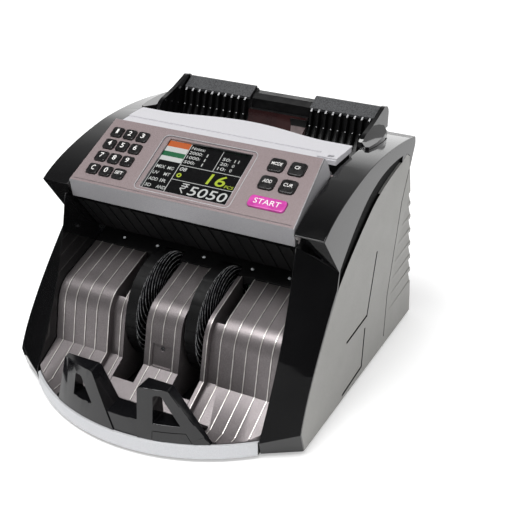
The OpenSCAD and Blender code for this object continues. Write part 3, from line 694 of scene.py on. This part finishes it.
def cap_rings(size, radius, dish):
    """Rings of a keycap from its skirt upwards: straight sides, a rounded shoulder and a top that is
    dished, or crowned where dish is negative"""
    w, h = size
    low = KEY_TOP - SHOULDER
    levels = [(1.6, 1.4, -4.2), (1.6, 1.4, -3.0), (0.0, 0.0, -3.0), (0.0, 0.0, low)]
    for i in range(1, 5):
        a = math.radians(90 * i / 5)
        inset = -2 * SHOULDER * (1 - math.cos(a))
        levels.append((inset, inset, low + SHOULDER * math.sin(a)))
    rings = []
    for wider, longer, z in levels:
        rings.append(rounded_ring(w + wider, h + longer, max(radius + wider / 2, 0.4), z))
    top = (w - 2 * SHOULDER, h - 2 * SHOULDER, max(radius - SHOULDER, 0.4))
    for t in (0.99, 0.8, 0.6, 0.4, 0.2):
        rings.append(rounded_ring(*[side * t for side in top], KEY_TOP - dish * (1 - t * t) - 0.02))
    return rings


def keycap(node_name, centre, size, radius, finish, dish=0.18):
    rings = cap_rings(size, radius, dish)
    count = len(rings[0])
    faces = band(len(rings), count)
    faces.append(tuple(range(count))[::-1])
    faces.append(tuple(range((len(rings) - 1) * count, len(rings) * count)))
    mesh = panel_mesh(node_name + "_cap", centre, rings, faces)
    softened(mesh, 35)
    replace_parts(add_piece(node_name + "_cap", mesh, node_name, finish), node_name)


def letters(words, width, height, bold, slant=0.0):
    """Flat letters made exactly width by height millimetres large, centred on the origin"""
    curve = bpy.data.curves.new("letters", "FONT")
    curve.body = words
    curve.size = height * FONT_SIZE
    curve.align_x = "CENTER"
    curve.align_y = "CENTER"
    curve.offset = bold
    curve.shear = slant
    curve.extrude = 0.015
    curve.resolution_u = 3
    holder = placed("letters", curve)
    mesh = bpy.data.meshes.new_from_object(holder)
    bpy.data.objects.remove(holder)
    bpy.data.curves.remove(curve)
    xs = [v.co.x for v in mesh.vertices]
    ys = [v.co.y for v in mesh.vertices]
    mesh.transform(Matrix.Translation((-(min(xs) + max(xs)) / 2, -(min(ys) + max(ys)) / 2, 0)))
    mesh.transform(Matrix.Diagonal((width / (max(xs) - min(xs)), height / (max(ys) - min(ys)), 1, 1)))
    return mesh


def legend(node_name, words, centre, width, height, bold):
    """White letters on a key"""
    mesh = letters(words, width, height, bold)
    mesh.transform(on_panel() @ Matrix.Translation((*centre, KEY_TOP)))
    add_piece(node_name + "_legend", mesh, node_name, "legend_white")


def lip(name, centre, size, radius, width):
    """A thin raised lip on the panel's face round a recess, coloured light silver as a painted highlight on
    the recess's edge
    """
    w, h = size
    levels = ((0.0, -0.1), (0.0, 0.12), (2 * width, 0.12), (2 * width, -0.1))
    rings = [rounded_ring(w + grow, h + grow, radius + grow / 2, z) for grow, z in levels]
    faces = band(len(rings), len(rings[0]), closed=True)
    add_piece(name, panel_mesh(name, centre, rings, faces), "panel", "highlight_silver")


def number_keys():
    for i, key in enumerate((*"123456789", "clear", "0", "set")):
        name = "key_" + key
        words = {"clear": "C", "set": "SET"}.get(key, key)
        x, y = KEY_X[i % 3], KEY_Y[i // 3]
        keycap(name, (x, y), (10.4, 10.4), 2.0, "key_black")
        width = {"1": 1.9, "SET": 7.4}.get(words, 3.3)
        height, bold = (3.2, 0.04) if words == "SET" else (5.0, 0.1)
        legend(name, words, (x + 0.1, y + 0.7), width, height, bold)


def function_buttons():
    rows = (("mode_button", "MODE", 0, 0, 9.4), ("count_button", "CF", 1, 0, 4.8),
            ("add_button", "ADD", 0, 1, 7.6), ("value_button", "CUR", 1, 1, 8.0))
    for name, words, column, row, width in rows:
        x, y = BUTTON_X[column], BUTTON_Y[row]
        keycap(name, (x, y), (13.4, 13.4), 3.0, "key_black", CROWN)
        legend(name, words, (x, y + 1.0), width, 3.3, 0.04)
    keycap("start_button", START_AT, (31.5, 11.2), 3.0, "start_magenta", CROWN)
    legend("start_button", "START", (START_AT[0], START_AT[1] + 0.4), 22.5, 5.0, 0.03)


# ---------- what the display shows ----------

def on_screen(u, v):
    """A place on the display, u from its left edge and v down from its top edge, both 0..1"""
    return (SCREEN[0] + u * SCREEN[2], SCREEN[1] + (1 - v) * SCREEN[3])


def slab(corners, low, high):
    """A flat four-cornered plate of the display, from low to high over its dark face"""
    points = [(x, y, DISPLAY_W + lift) for lift in (low, high) for x, y in corners]
    faces = [(3, 2, 1, 0), (4, 5, 6, 7), (0, 1, 5, 4), (1, 2, 6, 5), (2, 3, 7, 6), (3, 0, 4, 7)]
    return new_mesh("slab", points, faces)


def screen_bar(u0, v0, u1, v1):
    """A flat lit rectangle of the display"""
    (x0, y0), (x1, y1) = on_screen(u0, v1), on_screen(u1, v0)
    return slab(((x0, y0), (x1, y0), (x1, y1), (x0, y1)), 0.0, 0.03)


def screen_words(rows):
    """Words on the display: text, its left and right edge, its middle, letter height, boldness, slant"""
    out = []
    for words, left, right, middle, height, bold, slant in rows:
        mesh = letters(words, (right - left) * SCREEN[2], height, bold, slant)
        x, y = on_screen((left + right) / 2, middle)
        mesh.transform(Matrix.Translation((x, y, DISPLAY_W + 0.05)))
        out.append(mesh)
    return out


def rupee_sign(u, v, w, h):
    """The rupee sign in thick strokes, w by h millimetres, centred at u and v"""
    x, y = on_screen(u, v)
    bowl = [(0.0, 0.5), (0.55, 0.5), (0.74, 0.34), (0.74, 0.16), (0.55, 0.0), (0.0, 0.0), (0.72, -0.5)]
    strokes = [((-0.02, 0.5), (1.0, 0.5)), ((-0.02, 0.25), (1.0, 0.25))] + list(zip(bowl[1:], bowl[2:]))
    strokes.append((bowl[4], bowl[5]))
    out = []
    for ends in strokes:
        start, end = (Vector((x + (a - 0.5 + 0.12 * b) * w, y + b * h)) for a, b in ends)
        side = (end - start).normalized().orthogonal() * 0.45
        out.append(slab((start + side, start - side, end - side, end + side), 0.03, 0.06))
    return out


def screen_ring(u, v, r, t):
    """A small lit ring of the display, t thick"""
    x, y = on_screen(u, v)
    steps = 28
    section = ((r, 0.0), (r, 0.04), (r - t, 0.04), (r - t, 0.0))
    points = [p for radius, lift in section for p in circle(x, y, radius, DISPLAY_W + lift, steps)]
    return new_mesh("ring", points, band(len(section), steps, closed=True))


def display_grid():
    """The lines between the display's fields, and the white bars between its coloured ones"""
    places = ((0.265, 0.0, 0.272, 1.0), (0.0, 0.4, 0.006, 0.985), (0.272, 0.425, 1.0, 0.434),
              (0.272, 0.715, 1.0, 0.724), (0.655, 0.02, 0.661, 0.425), (0.0, 0.115, 0.262, 0.215),
              (0.0, 0.31, 0.262, 0.4))
    return [screen_bar(*place) for place in places]


def display_rows():
    """The display's white words and numbers, as rows of screen_words"""
    rows = [("5050", 0.525, 0.965, 0.862, 9.4, 0.08, 0.1), ("08", 0.295, 0.375, 0.5, 3.8, 0.04, 0.1)]
    for i, modes in enumerate((("MIX", "MG"), ("UV", "MT"), ("ADD", "IR"), ("3D", "AND"))):
        for left, words in zip((0.018, 0.155), modes):
            rows.append((words, left, left + 0.036 * len(words), 0.53 + i * 0.128, 3.3, 0.03, 0))
    rows.append(("Notes:", 0.29, 0.45, 0.065, 3.1, 0.02, 0))
    for i, note in enumerate(("2000:", "1000:", "500:")):
        v = 0.16 + i * 0.095
        rows.append((note, 0.29, 0.29 + 0.032 * len(note), v, 3.1, 0.02, 0))
        rows.append(("1", 0.50, 0.512, v, 3.1, 0.02, 0))
    for i, (note, count) in enumerate((("50:", "11"), ("20:", "0"), ("10:", "0"))):
        v = 0.16 + i * 0.095
        rows.append((note, 0.69, 0.785, v, 3.1, 0.02, 0))
        rows.append((count, 0.83, 0.83 + 0.026 * len(count), v, 3.1, 0.02, 0))
    return rows


def display_picture():
    """What the display shows: a grid, colour bars, counts and function words"""
    white = screen_words(display_rows()) + rupee_sign(0.458, 0.85, 6.0, 9.4)
    lime = screen_words([("16", 0.655, 0.865, 0.578, 11.2, 0.14, 0.1),
                         ("PCS", 0.875, 0.975, 0.66, 3.0, 0.02, 0.1)])
    lime.append(screen_ring(0.325, 0.625, 2.2, 1.2))
    parts = (("display_lines", display_grid(), "lit_white"),
             ("display_words", white, "lit_white"),
             ("display_count", lime, "lit_lime"),
             ("display_amber_bar", [screen_bar(0, 0, 0.262, 0.115)], "lit_amber"),
             ("display_green_bar", [screen_bar(0, 0.215, 0.262, 0.31)], "lit_green"))
    for name, meshes, finish in parts:
        mesh = merged(name, meshes)
        mesh.transform(on_panel())
        add_piece(name, mesh, "panel", finish)


# ---------- the stacker's and the hopper's fine work ----------

def curve_points(a, b, c, steps):
    """Quadratic curve from a to c pulled towards b"""
    out = []
    for i in range(steps + 1):
        t = i / steps
        out.append(tuple((1 - t) ** 2 * a[k] + 2 * t * (1 - t) * b[k] + t * t * c[k] for k in (0, 1)))
    return out


def between(path, low, high):
    """The part of a falling path whose Z lies between low and high"""
    out = []
    for a, b in zip(path, path[1:]):
        for level in (high, low):
            if a[1] > level > b[1]:
                t = (a[1] - level) / (a[1] - b[1])
                out.append((a[0] + t * (b[0] - a[0]), level))
        if low <= b[1] <= high:
            out.append(b)
    return out if path[0][1] > high else [path[0]] + out


def slide_path(front):
    """The face of a slide, as Y and Z from its back down to y = front"""
    outline = [*SLIDE_TOP, *curve_points(*SLIDE_BEND, 14), *SLIDE_FOOT]
    path = outline[:1]
    for a, b in zip(outline, outline[1:]):
        if a[0] <= front:
            break
        if b[0] < front:
            t = (a[0] - front) / (a[0] - b[0])
            b = (front, a[1] + t * (b[1] - a[1]))
        path.append(b)
    return path


def slide_line(x, front, low=0.0, high=200.0):
    """A bright line that runs down the face of a slide to y = front, where Z is from low to high"""
    path = between(slide_path(front), low, high)
    points = []
    for i, (y, z) in enumerate(path):
        before, after = path[max(i - 1, 0)], path[min(i + 1, len(path) - 1)]
        along = Vector((after[0] - before[0], after[1] - before[1])).normalized()
        out = Vector((along.y, -along.x))
        if out.y < 0:
            out = -out
        for side, lift in ((-1, LINE_FOOT), (-1, LINE_TOP), (1, LINE_TOP), (1, LINE_FOOT)):
            where = (x + side * LINE_WIDTH / 2, y + out.x * lift, z + out.y * lift)
            points.append([c * MM for c in where])
    last = 4 * (len(path) - 1)
    faces = band(len(path), 4) + [(3, 2, 1, 0), (last, last + 1, last + 2, last + 3)]
    return new_mesh("line", points, faces)


def slide_lines():
    """The lines end at the rim, or sooner where the stopper stands. The middle one leaves the screw's
    recess free"""
    for side, name in ((-1, "left"), (1, "right")):
        lines = []
        for x in LINE_X:
            front = RIM_MIDDLE - math.sqrt(RIM_RADIUS ** 2 - x * x) + 0.8
            if STOPPER_SPAN[0] < side * x < STOPPER_SPAN[1]:
                front = STOPPER_LINES
            if MIDDLE_SPAN[0] < side * x < MIDDLE_SPAN[1]:
                front = MIDDLE_LINES
            lines.append(slide_line(side * x, front))
        add_piece(name + "_slide_lines", merged("lines", lines), "case", "stripe_silver")
    lines = [slide_line(x, MIDDLE_LINES) for x in (-11, 11)]
    lines.append(slide_line(0, MIDDLE_LINES, low=RECESS_Z[1]))
    lines.append(slide_line(0, MIDDLE_LINES, high=RECESS_Z[0]))
    add_piece("centre_slide_lines", merged("lines", lines), "case", "stripe_silver")


def dome(centre, r, steps=16, rings=5):
    """A low round dome that stands on centre, in millimetres"""
    x, y, z = centre
    points = [(x, y, z + r)]
    for k in range(1, rings + 1):
        a = math.radians(90 * k / rings)
        points += circle(x, y, r * math.sin(a), z + r * math.cos(a), steps)
    faces = [(0, 1 + i, 1 + (i + 1) % steps) for i in range(steps)]
    faces += [(a + 1, d + 1, c + 1, b + 1) for a, b, c, d in band(rings, steps)]
    faces.append(tuple(1 + (rings - 1) * steps + i for i in range(steps))[::-1])
    mesh = new_mesh("dome", [[c * MM for c in p] for p in points], faces)
    mesh.shade_smooth()
    return mesh


def sensor_lenses():
    """Domes in the sensor bar's holes, near white as painted glints"""
    meshes = [dome((x, -6, 100.4), 1.5) for x in SENSOR_X]
    add_piece("sensor_lenses", merged("sensor_lenses", meshes), "case", "lens_glint_white")


def comb_glint_beads():
    """Small light beads halfway down the fins of the hopper's wall, a painted highlight for the glints
    there
    """
    meshes = []
    for start, end in COMBS:
        x = start + 1.5
        while x <= end - 1:
            meshes.append(dome((x + 0.9, 124.6, 179.6), 0.85, 10, 3))
            x += FIN_PITCH
    add_piece("comb_glint_beads", merged("comb_glint_beads", meshes), "case", "glint_grey")


def cross_outline(arm, half):
    """Corners of a cross whose arms reach to arm and are twice half wide"""
    return [(arm, -half), (arm, half), (half, half), (half, arm), (-half, arm), (-half, half), (-arm, half),
            (-arm, -half), (-half, -half), (-half, -arm), (half, -arm), (half, -half)]


def screw_head(name, place, turn, r, body):
    """A cross-head screw: a crowned head with its cross cut in. It faces +Z before it is turned"""
    ring, top = 24, 0.36
    profile = ((r, -1.2), (r, 0.0), (0.92 * r, 0.25), (0.72 * r, top))
    points = [p for radius, z in profile for p in circle(0, 0, radius, z, ring)]
    faces = band(len(profile), ring)
    faces.append(tuple(range(ring))[::-1])
    cross = cross_outline(0.58 * r, 0.13 * r)
    upper, lower = len(points), len(points) + len(cross)
    points += [(x, y, top) for x, y in cross] + [(x * 0.8, y * 0.8, -0.5) for x, y in cross]
    for i in range(len(cross)):
        after = (i + 1) % len(cross)
        faces.append((upper + i, lower + i, lower + after, upper + after))
    faces.append(tuple(lower + i for i in range(len(cross))))
    mesh = new_mesh(name, points, faces)
    made = bmesh.new()
    made.from_mesh(mesh)
    rim = [edge for edge in made.edges if edge.is_boundary]
    bmesh.ops.triangle_fill(made, use_beauty=True, edges=rim)
    bmesh.ops.recalc_face_normals(made, faces=made.faces)
    made.to_mesh(mesh)
    made.free()
    mesh.transform(Matrix.Translation(Vector(place) * MM) @ turn @ Matrix.Scale(MM, 4))
    softened(mesh)
    add_piece(name, mesh, body, "steel")


# ---------- which face gets which finish ----------

def side_depth(low, high):
    """How deep a face lies under the leaning side face"""
    return SIDE_X - low.z * SIDE_LEAN - max(abs(low.x), abs(high.x))


def channel(low, high, normal):
    """Painted shade: the channel beside the side cover lies two millimetres under the side face and is
    painted dull black as the shade in its recess
    """
    return "dull_black" if abs(normal.x) > 0.98 and 1.6 < side_depth(low, high) < 4.0 else None


def cover_painted_shade(low, high, normal):
    """Painted shade: the cover's grooves, the undersides of its slats and its edge beside the channel are
    painted dull black, as the shadow that falls in them
    """
    depth = side_depth(low, high)
    thick = abs(high.x - low.x)
    across = abs(normal.x) < 0.3
    groove = abs(normal.x) > 0.98 and 1.0 < depth < 1.5 or across and thick < 1.6
    front_edge = across and normal.y < -0.25 and thick > 2 and low.z > COVER_FOOT
    underside = low.y > SLATS_FROM and normal.z < -0.5 and low.z > COVER_FOOT
    return "dull_black" if high.y < GROOVES_TO and groove or front_edge or underside else None


def panel_edges(low, high, normal):
    """The panel's face has its rose tint, its front, back and sides are neutral"""
    slope = math.radians(PANEL_SLOPE)
    lift = normal.z * math.cos(slope) - normal.y * math.sin(slope)
    return None if lift > 0.96 else "edge_silver"


def comb_fins(low, high, normal):
    """The fins are black with a painted highlight on their tips, the pad above them grey"""
    if high.x - low.x > 2.5:
        return None
    tip = abs(normal.x) < 0.1 and low.z > 192 and high.z < 194.8 and low.y < 129
    return "glint_grey" if tip else "fin_black"


def blade_side_highlights(low, high, normal):
    """The blades' side edges get a painted highlight, lighter than their faces"""
    return "blade_edge_highlight" if abs(normal.x) > 0.9 else None


def tray_inside(low, high, normal):
    """The tray is silver on its round rim and black elsewhere"""
    if abs(normal.z) > 0.9:
        return "matt_black" if high.z < 10 else None
    middle = (low + high) / 2
    radius = math.hypot(middle.x, middle.y - RIM_MIDDLE)
    return "matt_black" if radius < RIM_RADIUS + 1.4 or middle.y > -60 else None


def sensor_window(low, high, normal):
    """The hopper's sensor window is dark red, and the tongue on it grey"""
    if low.x > -27.5 and high.x < 31.5 and low.y < 126:
        return "tongue_grey" if low.x > 14 else "sensor_brown"
    return None


def module_face(low, high, normal):
    """The display module on the board is black"""
    return "screen_dark" if low.x > -41 and high.x < 41 and high.x - low.x > 60 else None


# ---------- all pieces ----------

def dress_case():
    dress("base_tray", "rim_silver", 0.5, 3, tray_inside)
    for side in ("left", "right"):
        dress(side + "_side_fairing", "gloss_black", 0.8, 3, channel, main_only=60)
        dress(side + "_side_cover", "side_silver", 0.3, 2, cover_painted_shade)
        dress(side + "_hopper_wing", "gloss_black", 0.4, 3)
        dress(side + "_stack_guide", "guide_grey", 0.35, 2)
    dress("centre_stack_guide", "guide_grey", 0.35, 2)
    dress("rear_cover", "matt_black", 0.35, 2)
    dress("rubber_feet", "rubber_black", 0.5, 3)
    dress("cover_screws", "steel", 0.15, 1)


def dress_panel():
    # its rounded edges are coloured light silver as a painted highlight
    dress("control_panel", "panel_silver", 0.6, 3, panel_edges, main_only=25, edge_finish="highlight_silver")
    dress("panel_back", "matt_black", 0.3, 1)
    refinish("screen_lens", "lens_glass")
    dress("display_board", "board_green", 0.1, 1, module_face)
    number_keys()
    function_buttons()
    middle = (SCREEN[0] + SCREEN[2] / 2, SCREEN[1] + SCREEN[3] / 2 - 0.6)
    lip("screen_lip_highlight", middle, (SCREEN[2] + 9, SCREEN[3] + 6), 4.5, 0.7)
    display_picture()


def dress_hopper():
    dress("hopper_strip", "light_silver", 0.35, 3)
    dress("hopper_tray", "matt_black", 0.35, 2, sensor_window)
    dress("note_combs", "pad_grey", 0.3, 2, comb_fins)
    comb_glint_beads()
    dress("feed_guide", "matt_black", 0.3, 2)


def dress_stacker():
    dress("stopper_plate", "smoke_black", 0.5, 3, main_only=12)
    dress("throat_guide", "fin_black", 0.3, 2)
    for side in ("left", "right"):
        dress(side + "_fan_wheel", "wheel_black", 0.12, 1, blade_side_highlights)
    slide_lines()
    screw_head("recess_screw", (0, -75.4, 49), Matrix.Rotation(math.radians(103.3), 4, "X"), 1.9, "case")


def dress_inside():
    for name in ("inner_frame", "fan_shaft", "feed_shaft", "pickup_shaft", "transport_shaft"):
        dress(name, "steel", 0.2, 1)
    for name in ("feed_rollers", "pickup_rollers", "pinch_rollers"):
        dress(name, "roller_rubber", 0.3, 2)
    dress("shaft_bushes", "bronze", 0.15, 1)
    dress("sensor_bar", "matt_black", 0.25, 1)
    sensor_lenses()
    dress("drive_motor", "steel", 0.4, 2)
    dress("motor_pulley", "steel", 0.15, 1)
    dress("drive_belts", "rubber_black", 0.0)
    dress("main_board", "board_green", 0.1, 1)


def dress_rear():
    dress("power_inlet", "matt_black", 0.25, 2)
    dress("display_socket", "matt_black", 0.2, 1)
    dress("power_switch", "switch_red", 0.3, 2)
    dress("adjusting_knob", "matt_black", 0.3, 2)


# ---------- camera, floor and light ----------

def camera():
    data = bpy.data.cameras.new("camera")
    data.lens = CAMERA_LENS
    data.sensor_width = 36
    made = placed("camera", data)
    azimuth, height = math.radians(CAMERA_AZIMUTH), math.radians(CAMERA_HEIGHT)
    level = math.cos(height)
    back = Vector((math.sin(azimuth) * level, -math.cos(azimuth) * level, math.sin(height)))
    made.location = Vector(CAMERA_AT) * MM
    made.rotation_euler = (-back).to_track_quat("-Z", "Y").to_euler()
    bpy.context.scene.camera = made


def floor():
    """A pale floor that is white to the camera and keeps the object's shadow"""
    bpy.ops.mesh.primitive_plane_add(size=14)
    made = bpy.context.object
    made.name = "floor"
    finish = plain("floor_white", (250, 250, 250), roughness=0.9, specular=0.1)
    vary_colour(finish, noise(finish, 400, 2), (248, 248, 248), (252, 252, 252))
    path = node(finish, "ShaderNodeLightPath")
    lift = node(finish, "ShaderNodeMath", operation="MULTIPLY")
    lift.inputs[1].default_value = FLOOR_LIFT
    link(finish, path.outputs["Is Camera Ray"], lift.inputs[0])
    shader_of(finish).inputs["Emission Color"].default_value = (1, 1, 1, 1)
    link(finish, lift.outputs["Value"], shader_of(finish).inputs["Emission Strength"])
    made.data.materials.append(finish)


def soft_light(name, place, aim, size, watts):
    """A square lamp at place that faces aim, in metres"""
    data = bpy.data.lights.new(name, "AREA")
    data.shape = "RECTANGLE"
    data.size = data.size_y = size
    data.energy = watts
    made = placed(name, data)
    made.location = place
    made.rotation_euler = (Vector(aim) - Vector(place)).to_track_quat("-Z", "Y").to_euler()
    return made


def lights():
    soft_light("key", (-0.3, -0.55, 1.75), aim=(0, 0, 0.08), size=0.8, watts=20)
    fill = soft_light("fill", (1.6, -0.9, 0.9), aim=(0, 0, 0.1), size=1.2, watts=6)
    fill.visible_glossy = False


def dark_card(name, size, place, turn):
    """A black card beside the object that only its gloss sees, to keep the white room out of it"""
    bpy.ops.mesh.primitive_plane_add(size=1)
    made = bpy.context.object
    made.name = name
    made.scale = (*size, 1)
    made.rotation_euler = [math.radians(angle) for angle in turn]
    made.location = place
    made.data.materials.append(MATERIALS["dull_black"])
    made.visible_camera = False
    made.visible_diffuse = False
    made.visible_transmission = False
    made.visible_shadow = False


def dark_cards():
    dark_card("right_card", (0.62, 0.34), (0.42, -0.3, 0.17), UPRIGHT)
    dark_card("left_card", (1.3, 0.5), (-0.64, -0.1, 0.25), UPRIGHT)
    dark_card("low_card", (0.5, 0.6), (-0.395, 0.1, 0.002), (0, 0, 0))


def falloff(world, source, stops):
    """A level that follows a value, through the stops"""
    ramp = node(world, "ShaderNodeValToRGB")
    while len(ramp.color_ramp.elements) < len(stops):
        ramp.color_ramp.elements.new(0.5)
    for element, (where, level) in zip(ramp.color_ramp.elements, stops):
        element.position = where
        element.color = (level, level, level, 1)
    link(world, source, ramp.inputs["Fac"])
    return ramp.outputs["Color"]


def combined(world, how, first, second):
    """Two levels multiplied or added, or the larger of them"""
    made = node(world, "ShaderNodeMath", operation=how)
    link(world, first, made.inputs[0])
    link(world, second, made.inputs[1])
    return made.outputs["Value"]


def background(world, level, strength=1.0):
    """Light of one level all round, or of a level that changes with the direction"""
    made = node(world, "ShaderNodeBackground")
    made.inputs["Strength"].default_value = strength
    if isinstance(level, float):
        made.inputs["Color"].default_value = (level, level, level, 1)
    else:
        link(world, level, made.inputs["Color"])
    return made.outputs["Background"]


def mixed(world, factor, first, second):
    made = node(world, "ShaderNodeMixShader")
    for socket, source in zip(made.inputs, (factor, first, second)):
        link(world, source, socket)
    return made.outputs["Shader"]


def surroundings():
    """White to the eye and even on dull surfaces. In gloss, a bright sheet stands low behind the object
    and it is dark overhead"""
    world = bpy.data.worlds.new("studio")
    world.use_nodes = True
    bpy.context.scene.world = world
    world.node_tree.nodes.clear()
    output = node(world, "ShaderNodeOutputWorld")
    path = node(world, "ShaderNodeLightPath").outputs
    coords = node(world, "ShaderNodeTexCoord")
    split = node(world, "ShaderNodeSeparateXYZ")
    link(world, coords.outputs["Generated"], split.inputs["Vector"])
    height = falloff(world, split.outputs["Z"], SHEET_BY_HEIGHT)
    behind = falloff(world, split.outputs["Y"], SHEET_BEHIND)
    front = falloff(world, split.outputs["Z"], FRONT_BY_HEIGHT)
    level = combined(world, "ADD", combined(world, "MULTIPLY", height, behind), front)
    lit = mixed(world, path["Is Glossy Ray"], background(world, WORLD_LEVEL),
                background(world, level, SHEET_LEVEL))
    seen = combined(world, "MAXIMUM", path["Is Camera Ray"], path["Is Transmission Ray"])
    link(world, mixed(world, seen, lit, background(world, 1.0)), output.inputs["Surface"])


dress_case()
dress_panel()
dress_hopper()
dress_stacker()
dress_inside()
dress_rear()
camera()
floor()
dark_cards()
surroundings()
lights()
bpy.context.scene.view_settings.view_transform = "Standard"
